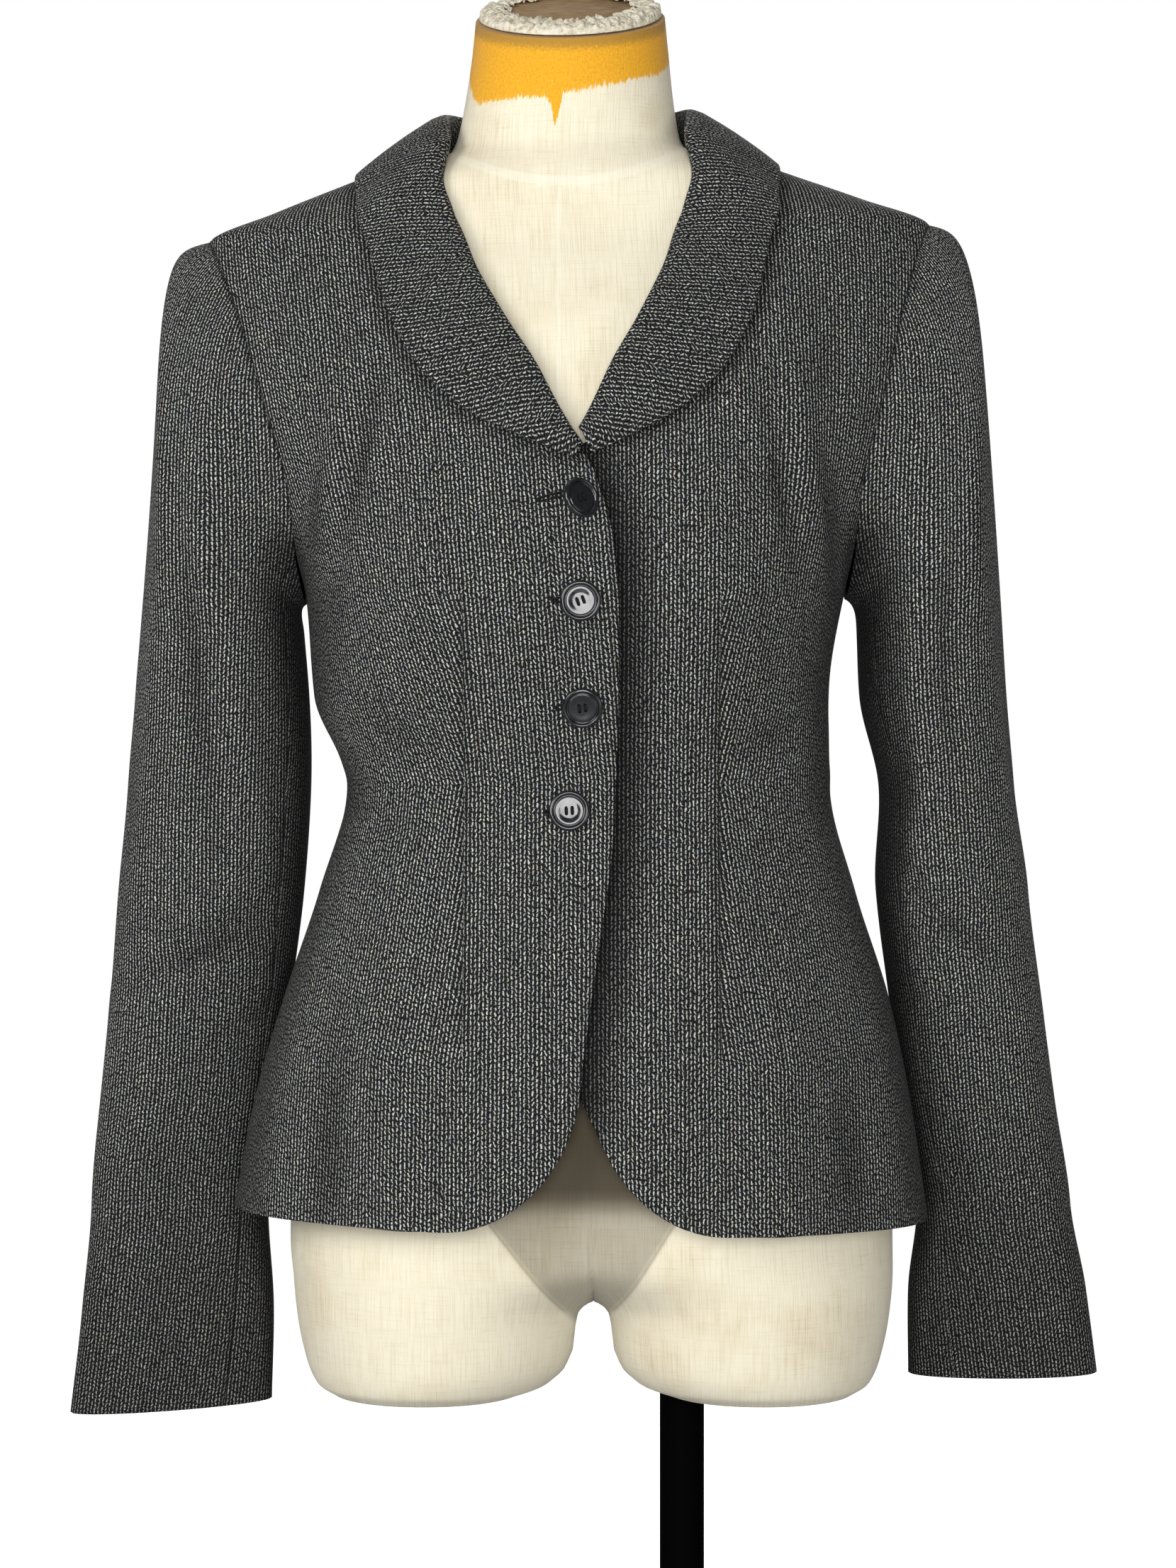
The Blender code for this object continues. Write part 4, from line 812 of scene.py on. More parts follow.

# Rounded edges of the cloth, and the shade painted into its colour
RIM_BULGE = 0.25  # share of the cloth's thickness by which a cut edge rounds out
SEAM_SHADE = 0.45  # painted shade: how much darker the wool is along a seam
SEAM_SHADE_WIDTH = 0.0012
LAP_SHADE = 0.96  # painted shadow: how much darker the left front is beside the lap
LAP_SHADE_WIDTH = 0.03
EDGE_SHADE = 0.75  # painted shadow: how much darker the wool is under the collar's free edge
EDGE_SHADE_WIDTH = 0.011
INNER_SHADE = 0.95  # painted shade: how much darker a sleeve is where it faces the body
INNER_SHADE_FROM = 0.45  # share of its facing at which that begins
ARMPIT_SHADE = 0.9  # painted shade: how much darker both are in the armpit
ARMPIT_WIDTH = 0.034
ARMPIT_ANGLES = np.arange(0.0, 42.0, 3.0)  # part of the armhole, from its lowest point
SIDE_SHADE = 0.7  # painted shade: how much darker the body is where it faces a sleeve
SIDE_SHADE_FROM = 0.72
FOLD_SHADE = 0.5  # painted shade: how much darker the bottom of a fold is
FOLD_DEEP = 0.0028  # depth at which that is whole


def fold_rise(table, across, height, girth=None):
    """How far soft folds lift the cloth at a place; with a girth, across is a share of the way round it."""
    total = 0.0
    for at_across, at_height, lean, half_wide, half_long, rise in table.rows:
        away = across - at_across
        if girth is not None:
            away = ((away + 0.5) % 1.0 - 0.5) * girth
        sine = math.sin(math.radians(lean))
        cosine = math.cos(math.radians(lean))
        sideways = away * cosine - (height - at_height) * sine
        along = away * sine + (height - at_height) * cosine
        total = total + rise * np.exp(-(sideways / half_wide) ** 2 - (along / half_long) ** 2)
    return total


def run_length(points, axis):
    """Distance along a grid of points, from its first row or column."""
    step = np.linalg.norm(np.diff(points, axis=axis), axis=-1)
    total = np.cumsum(step, axis=axis)
    start = np.zeros_like(np.take(total, [0], axis=axis))
    return np.concatenate((start, total), axis=axis)


def read_lattice(lattice, rows, columns, row, column):
    """A lattice of values read between its rows and columns."""
    down = np.interp(row, rows, np.arange(len(rows)))
    over = np.interp(column, columns, np.arange(len(columns)))
    first_row = np.minimum(down.astype(int), len(rows) - 2)
    first_column = np.minimum(over.astype(int), len(columns) - 2)
    down = down - first_row
    over = over - first_column
    near = lattice[first_row, first_column] * (1 - over) + lattice[first_row, first_column + 1] * over
    far = lattice[first_row + 1, first_column] * (1 - over) + lattice[first_row + 1, first_column + 1] * over
    return near * (1 - down) + far * down


GRAIN_ANGLES = np.linspace(-0.5, 1.8, 161)  # turns away from the centre line
GRAIN_HEIGHTS = np.linspace(HEM - 0.01, NECK_POINT + 0.03, 161)


def body_grain(side, turn, height, is_front):
    """Where each point lies in the flat cloth: away from the centre line, and up the grain."""
    turns = side * (GRAIN_ANGLES if is_front else math.pi - GRAIN_ANGLES)
    lattice = cloth_middle(turns[None, :], GRAIN_HEIGHTS[:, None])
    around = run_length(lattice, axis=1)
    centre = np.argmin(np.abs(GRAIN_ANGLES))
    around = around - around[:, centre:centre + 1]
    upward = run_length(lattice, axis=0)
    angle = side * turn if is_front else math.pi - side * turn
    away = read_lattice(around, GRAIN_HEIGHTS, GRAIN_ANGLES, height, angle)
    rise = read_lattice(upward, GRAIN_HEIGHTS, GRAIN_ANGLES, height, angle)
    lean = FRONT_LEAN[side] * np.maximum(height, 0.0) if is_front else 0.0
    return np.stack((side * away + lean, rise), axis=-1)


def dart_take(height):
    """Width of cloth that a waist dart takes up at a height."""
    share = np.where(height > 0, height / DART_TOP, height / DART_FOOT)
    return DART_INTAKE * (1 - np.clip(share, 0.0, 1.0))


def dart_line(side, across, height):
    """1 on the dart's stitched line, 0 away from it."""
    ends = ease(DART_FOOT, DART_FOOT + DART_END, height) * ease(DART_TOP, DART_TOP - DART_END, height)
    return ends * np.exp(-((across - DART_ACROSS[side]) / DART_HALF_WIDTH) ** 2)


def dart_share(rows, side):
    """Share of the way along each row where the dart crosses it."""
    share = np.full(len(rows), DART_FIRST_GUESS)
    for _ in range(DART_ROUNDS):
        height = rows[:, 1] + (rows[:, 3] - rows[:, 1]) * share
        turn = turn_at(side, DART_ACROSS[side], height)
        share = np.clip((turn - rows[:, 0]) / (rows[:, 2] - rows[:, 0]), *DART_SHARES)
    return share


def along_rows(rows, share):
    """Turn and height at shares of the way along each row."""
    turn = rows[:, None, 0] + (rows[:, None, 2] - rows[:, None, 0]) * share
    height = rows[:, None, 1] + (rows[:, None, 3] - rows[:, None, 1]) * share
    return turn, height


def front_lift(side, across, height):
    """How far a front lies off the smooth form of the blazer."""
    dart = DART_TROUGH * dart_line(side, across, height)
    return lap_lift(side, across) + fold_rise(FRONT_FOLDS[side], across, height) - dart


def front_grid(side):
    """Points, grain and painted shade of a front, along its dart and in its folds, with columns crowded at
    its dart.
    """
    rows = front_rows(side)
    dart = dart_share(rows, side)[:, None]
    inner = dart * (1 - (1 - np.linspace(0.0, 1.0, INNER_COLUMNS)) ** DART_CROWD)
    stitched = dart + DART_STEP
    outer = stitched + (1 - stitched) * np.linspace(0.0, 1.0, OUTER_COLUMNS) ** DART_CROWD
    turn, height = along_rows(rows, np.concatenate((inner, outer), axis=1))
    across = across_at(side, (turn, height))
    points = cloth_point(turn, height, front_lift(side, across, height))
    grain = body_grain(side, turn, height, is_front=True)
    grain[:, INNER_COLUMNS:, 0] += side * dart_take(height)[:, INNER_COLUMNS:]
    folds = fold_shade(fold_rise(FRONT_FOLDS[side], across, height))
    return points, grain, np.maximum(DART_SHADE * dart_line(side, across, height), folds)


def back_grid(side):
    """Points, grain and painted fold shade of a back half."""
    turn, height = along_rows(back_rows(side), np.linspace(0.0, 1.0, BACK_COLUMNS))
    across = across_at(side, (turn, height))
    rise = fold_rise(BACK_FOLDS[side], across, height)
    points = cloth_point(turn, height, rise)
    return points, body_grain(side, turn, height, is_front=False), fold_shade(rise)


def eased_over_shoulder(points, stations, places):
    """The collar's points with its turn over the shoulder seam rounded and its sewn edge kept."""
    soft = np.empty_like(points)
    for column, along in enumerate(run_length(points, axis=0).T):
        weight = np.exp(-(((along[:, None] - along) / OVER_SPREAD) ** 2) / 2) * np.gradient(along)
        soft[:, column] = weight @ points[:, column] / weight.sum(axis=1, keepdims=True)
    share = (1 - ease(0.0, OVER_REACH, np.abs(stations - 1.0)))[:, None] * ease(0.0, OVER_STAND, places)
    return points + (soft - points) * share[..., None]


def collar_grid(side):
    """Points, grain and outward directions of one half of the collar."""
    front = np.linspace(COLLAR_FIRST[side], 1.0, COLLAR_FRONT_ROWS)
    stations = np.concatenate((front, np.linspace(1.0, 2.0, COLLAR_BACK_ROWS)[1:]))
    fade = np.clip(1 - (stations - stations[0]) / SLANT_FADE, 0.0, 1.0)
    places = [COLLAR_PLACES[0][0]]
    for low, high, count in COLLAR_PLACES:
        places.extend(np.linspace(low, high, count + 1)[1:])
    columns = []
    for place in places:
        own = stations - COLLAR_SLANT[side] * float(ease(0.0, 2.0, place)) * fade
        share = float(COLLAR_PROFILE.at("lift", place))
        columns.append(collar_column(side, own, place, share))
    places = np.array(places)
    points = eased_over_shoulder(np.stack(columns, axis=1), stations, places)
    along = run_length(points, axis=0)[:, np.argmin(np.abs(places - COLLAR_GRAIN_LINE))]
    lean = np.radians(COLLAR_LEAN.at("degrees", stations))
    step = np.diff(along, prepend=along[0])
    start_x = np.cumsum(step * np.cos(lean))[:, None]
    start_y = np.cumsum(step * np.sin(lean))[:, None]
    across = run_length(points, axis=1)
    across = across - across[:, [np.argmin(np.abs(places - 1.0))]]
    sine, cosine = np.sin(lean)[:, None], np.cos(lean)[:, None]
    grain = np.stack((start_y - across * cosine, start_x + across * sine), axis=-1)
    rise = np.zeros(points.shape[:2])
    for station, place, half_station, half_place, height in COLLAR_FOLDS.rows:
        far = ((stations[:, None] - station) / half_station) ** 2 + ((places - place) / half_place) ** 2
        rise += height * np.exp(-far)
    fall = places > COLLAR_FALL
    facing = outward_of(points) * fall[None, :, None]
    points = points + outer_normals(points, facing) * (rise * fall)[..., None]
    return points, grain, facing


def sleeve_grid(side, first, last, columns):
    """Points, grain, outward directions and painted fold shade of a sleeve piece, from the armhole to the
    cuff.
    """
    top = SLEEVES[side].rows[-1, 0]
    cuff = SLEEVES[side].rows[0, 0]
    across = np.linspace(0.0, 1.0, columns)
    rows = []
    shares = []
    for step in range(HEAD_ROWS + ARM_ROWS):
        down = max(step - HEAD_ROWS, 0) / (ARM_ROWS - 1)
        start = first[0] + (first[1] - first[0]) * down
        end = last[0] + (last[1] - last[0]) * down
        share = (start + (end - start) * across) % 1.0
        shares.append(share)
        if step < HEAD_ROWS:
            rows.append(sleeve_cap(side, share, step / HEAD_ROWS, top))
        else:
            rows.append(sleeve_ring(side, top + (cuff - top) * down, share))
    points = np.stack(rows)
    share = np.stack(shares)
    height = points[..., 2] - WAIST
    from_armhole = np.arange(len(rows))[:, None] / HEAD_ROWS
    rise = fold_rise(SLEEVE_FOLDS[side], share, height, SLEEVE_GIRTH)
    rise = rise * ease(0.0, CUFF_FADE, height - cuff) * ease(0.0, ARMHOLE_FADE, from_armhole)
    facing = sleeve_facing(side, points)
    points = points + outer_normals(points, facing) * rise[..., None]
    return points, sleeve_grain(side, points, share, facing), facing, fold_shade(rise)


def sleeve_grain(side, points, share, facing):
    """Grain of a sleeve piece: round and along the arm, and laid out flat from there up the head."""
    around = run_length(points, axis=1)
    around = around - around[:, [points.shape[1] // 2]]
    upward = run_length(points[::-1], axis=0)[::-1]
    grain = np.stack((side * around, upward), axis=-1)
    normal = outer_normals(points, facing)
    for row in range(HEAD_ROWS - 1, -1, -1):
        crown = ease(HEAD_CROWN, 0.0, np.minimum(share[row], 1 - share[row]))
        up = np.stack((-side * GRAIN_LEAN * crown, np.zeros_like(crown), np.ones_like(crown)), axis=-1)
        over = unit(np.cross(up, normal[row]))
        along = np.cross(normal[row], over)
        step = points[row] - points[row + 1]
        direction = np.sign(np.sum(over[-1] * (points[row, -1] - points[row, -2])))
        grain[row, :, 0] = grain[row + 1, :, 0] + side * direction * np.sum(step * over, axis=-1)
        grain[row, :, 1] = grain[row + 1, :, 1] + np.sum(step * along, axis=-1)
    return grain


def outward_of(points):
    """Direction away from the upright middle of the body."""
    away = points.copy()
    away[..., 2] = 0.0
    return away


def sleeve_facing(side, points):
    """Direction away from the middle of a sleeve."""
    low = SLEEVES[side].rows[0, 0]
    high = SLEEVES[side].rows[-1, 0]
    height = np.clip(points[..., 2] - WAIST, low, high)
    away = points.copy()
    away[..., 0] -= side * SLEEVES[side].at("out", height)
    away[..., 1] -= SLEEVES[side].at("back", height)
    away[..., 2] = 0.0
    return away


def grid_normals(points):
    """Direction square to a grid of points."""
    normal = np.cross(np.gradient(points, axis=1), np.gradient(points, axis=0))
    return normal / np.maximum(np.linalg.norm(normal, axis=-1, keepdims=True), TINY)


def outer_normals(points, facing):
    """The same, all on the side that faces outwards."""
    normal = grid_normals(points)
    return normal if np.sum(normal * facing) > 0 else -normal


def edge_steps(values, edges):
    """The last step out to each of the named edges of a grid, and nothing elsewhere."""
    steps = np.zeros_like(values)
    for edge in edges:
        steps[edge_index(edge)] += values[edge_index(edge)] - values[edge_index(edge, 1)]
    return steps


def seam_shade(points, edges):
    """Shade at the sewn edges of a grid, fading a little way in."""
    along = run_length(points, axis=0)
    over = run_length(points, axis=1)
    distances = dict(zip(EDGES, (along, along[-1:] - along, over, over[:, -1:] - over)))
    near = np.minimum.reduce([distances[edge] for edge in edges])
    return SEAM_SHADE * ease(SEAM_SHADE_WIDTH, 0.0, near)


def lap_shade(points, edge):
    """Shade on the left front beside the edge that laps over it."""
    past = points[..., 0] - np.interp(points[..., 2], edge[:, 2], edge[:, 0])
    return LAP_SHADE * ease(LAP_SHADE_WIDTH, 0.0, past)


def near_shade(points, line, width):
    """Shade of cloth that lies close to a line, from one on it to nothing at the width."""
    near = np.full(points.shape[:2], np.inf)
    for place in line:
        near = np.minimum(near, np.linalg.norm(points - place, axis=-1))
    return ease(width, 0.0, near)


def inner_shade(side, points, facing):
    """Shade on a sleeve where it faces the body."""
    inward = -side * outer_normals(points, facing)[..., 0]
    return INNER_SHADE * ease(INNER_SHADE_FROM, 1.0, inward)


def side_shade(side, points):
    """Shade on the body where it faces a sleeve."""
    sideways = side * outer_normals(points, outward_of(points))[..., 0]
    return SIDE_SHADE * ease(SIDE_SHADE_FROM, 1.0, sideways)


def fold_shade(rise):
    """Shade in the bottom of folds."""
    return FOLD_SHADE * ease(0.0, FOLD_DEEP, -rise)


def new_object(name, data):
    """An object in the scene."""
    made = bpy.data.objects.new(name, data)
    bpy.context.scene.collection.objects.link(made)
    return made


def add_piece(name, mesh, node=None):
    """Show a mesh as a piece of the object, in place of a solid if one is named."""
    piece = new_object(name, mesh)
    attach(piece, "root")
    if node is not None:
        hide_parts(node)
    return piece


def cloth_mesh(name, points, grain, shade, facing, thickness, finishes, sewn=()):
    """A thin shell round a grid of points, its free edges rounded, with two finishes, its grain and its
    painted shade.
    """
    rows, columns = points.shape[:2]
    count = rows * columns
    bulge = thickness * RIM_BULGE
    free = [edge for edge in EDGES if edge not in sewn]
    points = draw_in(points, free, bulge)
    normal = grid_normals(points)
    faces_out = np.sum(normal * facing) > 0
    if not faces_out:
        normal = -normal
    away = edge_steps(points, free)
    length = np.maximum(np.linalg.norm(away, axis=-1, keepdims=True), TINY)
    away /= length
    index = np.arange(count).reshape(rows, columns)
    border = np.concatenate((index[0, :-1], index[:-1, -1], index[-1, :0:-1], index[:0:-1, 0]))
    outer = points + normal * thickness / 2
    inner = points - normal * thickness / 2
    rim = (points + away * bulge).reshape(-1, 3)[border]
    vertices = np.concatenate((outer.reshape(-1, 3), inner.reshape(-1, 3), rim))
    low_left, low_right = index[:-1, :-1].ravel(), index[:-1, 1:].ravel()
    high_right, high_left = index[1:, 1:].ravel(), index[1:, :-1].ravel()
    outside = np.stack((low_left, low_right, high_right, high_left), axis=1)
    inside = outside[:, ::-1] + count
    following = np.roll(border, -1)
    on_rim = 2 * count + np.arange(len(border))
    on_rim_following = np.roll(on_rim, -1)
    upper_rim = np.stack((following, border, on_rim, on_rim_following), axis=1)
    lower_rim = np.stack((on_rim_following, on_rim, border + count, following + count), axis=1)
    faces = np.concatenate((outside, upper_rim, lower_rim, inside))
    if not faces_out:
        faces = faces[:, ::-1]
    mesh = bpy.data.meshes.new(name)
    mesh.from_pydata(vertices.tolist(), [], faces.tolist())
    for finish in finishes:
        mesh.materials.append(finish)
    shown = np.zeros(len(faces), dtype=np.int32)
    shown[-len(inside):] = 1
    mesh.polygons.foreach_set("material_index", shown)
    flat_grain = grain.reshape(-1, 2)
    rim_grain = (grain + edge_steps(grain, free) * bulge / length).reshape(-1, 2)[border]
    flat_shade = shade.ravel()
    values = np.zeros((len(vertices), 3), dtype=np.float32)
    values[:, :2] = np.concatenate((flat_grain, flat_grain, rim_grain))
    # the third channel is the painted shade that darkens the wool
    values[:, 2] = np.concatenate((flat_shade, flat_shade, flat_shade[border]))
    layer = mesh.attributes.new("grain", "FLOAT_VECTOR", "POINT")
    layer.data.foreach_set("vector", values.ravel())
    mesh.shade_smooth()
    return mesh


class Graph:
    """Short calls that lay the nodes of one tree."""

    def __init__(self, tree):
        self.tree = tree

    def node(self, kind, *values, **settings):
        """A node with its settings made, and then its first sockets fed in order."""
        made = self.tree.nodes.new(kind)
        for name, value in settings.items():
            setattr(made, name, value)
        for socket, value in zip(made.inputs, values):
            self.feed(socket, value)
        return made

    def feed(self, socket, value):
        """Link a socket to its source, or set its constant."""
        if isinstance(value, bpy.types.NodeSocket):
            self.tree.links.new(value, socket)
        else:
            socket.default_value = value

    def sum(self, operation, *values):
        return self.node("ShaderNodeMath", *values, operation=operation).outputs[0]

    def varied(self, value, sizes):
        """The least of two sizes, and the value times the other."""
        return self.sum("MULTIPLY_ADD", value, sizes[1], sizes[0])

    def scaled(self, vector, factors):
        return self.node("ShaderNodeVectorMath", vector, factors, operation="MULTIPLY").outputs[0]

    def split(self, vector):
        return self.node("ShaderNodeSeparateXYZ", vector).outputs

    def joined(self, x, y, z=0.0):
        return self.node("ShaderNodeCombineXYZ", x, y, z).outputs[0]

    def noise(self, vector, scale, detail=2.0, roughness=0.5, dimensions="2D"):
        made = self.node("ShaderNodeTexNoise", vector, noise_dimensions=dimensions)
        for name, value in (("Scale", scale), ("Detail", detail), ("Roughness", roughness)):
            self.feed(made.inputs[name], value)
        return made.outputs["Fac"]

    def chance(self, x, y, z=0.0):
        """A fixed random number for each whole place."""
        place = self.joined(x, y, z)
        return self.node("ShaderNodeTexWhiteNoise", place, noise_dimensions="3D").outputs["Value"]

    def ranged(self, value, *limits):
        """A value eased from 0 at a low limit to 1 at a high one, or between two other limits."""
        made = self.node("ShaderNodeMapRange", value, *limits, interpolation_type="SMOOTHSTEP")
        return made.outputs["Result"]

    def mixed(self, share, first, second):
        made = self.node("ShaderNodeMix", data_type="RGBA")
        self.feed(made.inputs["Factor"], share)
        colours = [socket for socket in made.inputs if socket.type == "RGBA"]
        self.feed(colours[0], first)
        self.feed(colours[1], second)
        return next(socket for socket in made.outputs if socket.type == "RGBA")

    def ramp(self, value, stops):
        made = self.node("ShaderNodeValToRGB", value)
        elements = made.color_ramp.elements
        while len(elements) < len(stops):
            elements.new(0.5)
        for element, (place, colour) in zip(elements, stops):
            element.position = place
            element.color = (*colour, 1.0)
        return made.outputs["Color"]

    def attribute(self, name):
        made = self.node("ShaderNodeAttribute", attribute_type="GEOMETRY", attribute_name=name)
        return made.outputs["Vector"]

    def bump(self, height, strength, distance):
        made = self.node("ShaderNodeBump", strength, distance)
        self.feed(made.inputs["Height"], height)
        return made.outputs["Normal"]


def new_group(name, inputs, outputs):
    """A shared node group with named sockets: its tree, its graph, and what it is given and gives."""
    tree = bpy.data.node_groups.new(name, "ShaderNodeTree")
    for way, sockets in (("INPUT", inputs), ("OUTPUT", outputs)):
        for socket, kind in sockets.items():
            tree.interface.new_socket(socket, in_out=way, socket_type="NodeSocket" + kind)
    graph = Graph(tree)
    return tree, graph, graph.node("NodeGroupInput").outputs, graph.node("NodeGroupOutput").inputs


def new_material(name, **constants):
    """A material, its node graph and its shader, with the shader's constant sockets set."""
    made = bpy.data.materials.new(name)
    made.use_nodes = True
    shader = made.node_tree.nodes["Principled BSDF"]
    for socket, value in constants.items():
        shader.inputs[socket.replace("_", " ")].default_value = value
    return made, Graph(made.node_tree), shader


FLECKS = {"Place": "Vector", "Stretch": "Vector", "Scale": "Float", "Detail": "Float", "Roughness": "Float"}
EVEN = (1.0, 1.0, 1.0)


def fleck_group():
    """Shared flecks, made once: one fine noise over a piece, stretched where asked."""
    tree = bpy.data.node_groups.get("fine_flecks")
    if tree is None:
        tree, graph, given, made = new_group("fine_flecks", FLECKS, {"Fleck": "Float"})
        place = graph.scaled(given["Place"], given["Stretch"])
        fleck = graph.noise(place, given["Scale"], given["Detail"], given["Roughness"], "3D")
        graph.feed(made["Fleck"], fleck)
    return tree


def flecked_material(name, flecks, tones, roughness=None, relief=None, **constants):
    """A finish whose colour, and where given its roughness and relief, follow the shared flecks."""
    made, graph, shader = new_material(name, **constants)
    place = graph.node("ShaderNodeTexCoord").outputs["Object"]
    group = graph.node("ShaderNodeGroup", place, *flecks, node_tree=fleck_group())
    fleck = group.outputs["Fleck"]
    if roughness is not None:
        graph.feed(shader.inputs["Roughness"], graph.ranged(fleck, *roughness))
    graph.feed(shader.inputs["Base Color"], graph.ramp(fleck, tones))
    if relief is not None:
        graph.feed(shader.inputs["Normal"], graph.bump(fleck, *relief))
    return made


# Weave of the wool: pale broken stripes on a black ground, with a little colour in the yarn
WOOL_GROUND = (0.0045, 0.0045, 0.0046, 1.0)
WOOL_YARNS = (
    (0.0, (0.69, 0.695, 0.69)),
    (0.22, (0.8, 0.79, 0.74)),
    (0.45, (0.65, 0.68, 0.71)),
    (0.65, (0.83, 0.81, 0.72)),
    (0.85, (0.67, 0.72, 0.67)),
    (1.0, (0.74, 0.74, 0.73)),
)
BODY_WEAVE = {"Pitch": 0.00224, "Dash": 0.0027, "Slant": 0.5, "Wander": 0.36, "Strength": 1.0}
SLEEVE_WEAVE = {"Pitch": 0.00216, "Dash": 0.0025, "Slant": 0.5, "Wander": 0.32, "Strength": 1.0}
# the collar's dashes are dimmer, Strength 0.94: painted shade where the collar tilts up towards the lamps
COLLAR_WEAVE = {"Pitch": 0.00234, "Dash": 0.0023, "Slant": 1.35, "Wander": 0.4, "Strength": 0.94}
WOOL_SHADE_DEPTH = 0.92  # how nearly black the deepest painted shade is
WOOL_RELIEF = (0.45, 0.0005)
LINING_TONES = ((0.2, (0.006, 0.006, 0.007)), (0.9, (0.02, 0.02, 0.022)))
LINING_TWILL = 9000.0
LINING_DUST = 60.0
LINING_SHOWS = 0.12  # how much the twill shows in its tone
LINING_RELIEF = (0.15, 0.0001)

# Noises of the weave by their scale, how far each moves a stripe or a dash, and its random draws
HAIR_SCALE = 1500.0
CROOK_SCALE = 430.0
SWAY_SCALE = 110.0
STRETCH_SCALE = 270.0
HAIR_SHIFT = 0.18
SWAY_SHIFT = 0.2
STRETCH_SHIFT = 0.9
PHASE_SHIFT = 7.0
BEND_SHIFT = 0.07
PHASE_DRAW = 3.7
PACE_DRAW = 9.1
DASH_DRAWS = (1.5, 4.5, 8.5)
DASH_PACE = (0.88, 0.24)  # least pace of a stripe's dashes, and how much it varies
DASH_TIP = 0.35  # share of the dashes that lean the other way
DASH_HALF = (0.066, 0.05)  # least half width of a dash, as a share of the pitch, and how much it varies
DASH_SOFT = (-0.16, 0.1)  # how softly its sides end
DASH_GAP = (0.01, 0.07)  # gap between two dashes, and how much the slant widens it
DASH_START = (0.18, 0.14)  # length over which a dash begins, and how much it varies
DASH_END = (0.18, 0.16)
DASH_BRIGHT = (0.55, 0.42)  # least brightness of a dash, and how much it varies
NAP = (0.3, 0.7, 0.85, 1.12)  # hair that dulls or lifts a dash
STRAY = (0.45, 0.8, 0.0, 0.07)  # pale hair on the ground
HAIR_RELIEF = 0.4


def weave_group():
    """Shared weave: stripes broken into short crooked dashes of uneven length and brightness."""
    inputs = {"Grain": "Vector", **dict.fromkeys(BODY_WEAVE, "Float")}
    outputs = {"Color": "Color", "Height": "Float"}
    tree, graph, given, made = new_group("broken_stripe_weave", inputs, outputs)
    place = graph.split(given["Grain"])
    flat = graph.joined(place["X"], place["Y"])
    hair = graph.noise(flat, HAIR_SCALE, 1.0)
    crook, sway, stretch = (graph.sum("SUBTRACT", graph.noise(flat, scale, 0.0), 0.5)
                            for scale in (CROOK_SCALE, SWAY_SCALE, STRETCH_SCALE))
    over = graph.sum("MULTIPLY_ADD", sway, SWAY_SHIFT, graph.sum("DIVIDE", place["X"], given["Pitch"]))
    over = graph.sum("MULTIPLY_ADD", crook, given["Wander"], over)
    over = graph.sum("MULTIPLY_ADD", hair, HAIR_SHIFT, over)
    column = graph.sum("FLOOR", over)
    phase = graph.chance(column, PHASE_DRAW)
    pace = graph.varied(graph.chance(column, PACE_DRAW), DASH_PACE)
    along = graph.sum("MULTIPLY", graph.sum("DIVIDE", place["Y"], given["Dash"]), pace)
    along = graph.sum("MULTIPLY_ADD", stretch, STRETCH_SHIFT, along)
    along = graph.sum("MULTIPLY_ADD", phase, PHASE_SHIFT, along)
    dash = graph.sum("FLOOR", along)
    run = graph.sum("FRACT", along)
    bright, tint, tip = (graph.chance(column, dash, draw) for draw in DASH_DRAWS)
    tip = graph.sum("MULTIPLY", graph.sum("SUBTRACT", tip, DASH_TIP), given["Slant"])
    lean = graph.sum("MULTIPLY", graph.sum("SUBTRACT", run, 0.5), tip)
    bend = graph.sum("SINE", graph.sum("MULTIPLY", graph.sum("ADD", run, phase), 2 * math.pi))
    inside = graph.sum("SUBTRACT", graph.sum("FRACT", over), 0.5)
    inside = graph.sum("ADD", graph.sum("MULTIPLY_ADD", bend, BEND_SHIFT, inside), lean)
    half = graph.varied(tint, DASH_HALF)
    body = graph.ranged(graph.sum("SUBTRACT", half, graph.sum("ABSOLUTE", inside)), *DASH_SOFT)
    gap = graph.varied(given["Slant"], DASH_GAP)
    start = graph.ranged(run, gap, graph.varied(bright, DASH_START))
    end = graph.ranged(graph.sum("SUBTRACT", 1.0, run), gap, graph.varied(tint, DASH_END))
    shape = graph.sum("MULTIPLY", body, graph.sum("MULTIPLY", start, end))
    strength = graph.sum("MULTIPLY", graph.varied(bright, DASH_BRIGHT), given["Strength"])
    share = graph.sum("MULTIPLY", graph.sum("MULTIPLY", shape, strength), graph.ranged(hair, *NAP))
    share = graph.sum("MINIMUM", graph.sum("MAXIMUM", share, graph.ranged(hair, *STRAY)), 1.0)
    yarn = graph.ramp(tint, WOOL_YARNS)
    graph.feed(made["Color"], graph.mixed(share, WOOL_GROUND, yarn))
    graph.feed(made["Height"], graph.sum("MULTIPLY_ADD", hair, HAIR_RELIEF, shape))
    return tree


def wool_material(name, weave, sizes):
    """Wool with the shared weave at its own sizes, darkened by painted shade along its seams and in its other
    shaded places.
    """
    made, graph, shader = new_material(name, Roughness=0.9, Specular_IOR_Level=0.06, Sheen_Weight=0.02,
                                       Sheen_Roughness=0.45)
    grain = graph.attribute("grain")
    group = graph.node("ShaderNodeGroup", node_tree=weave)
    graph.feed(group.inputs["Grain"], grain)
    for socket, value in sizes.items():
        group.inputs[socket].default_value = value
    painted_shade = graph.sum("MULTIPLY", graph.split(grain)["Z"], WOOL_SHADE_DEPTH)
    colour = graph.mixed(painted_shade, group.outputs["Color"], WOOL_GROUND)
    graph.feed(shader.inputs["Base Color"], colour)
    graph.feed(shader.inputs["Normal"], graph.bump(group.outputs["Height"], *WOOL_RELIEF))
    return made


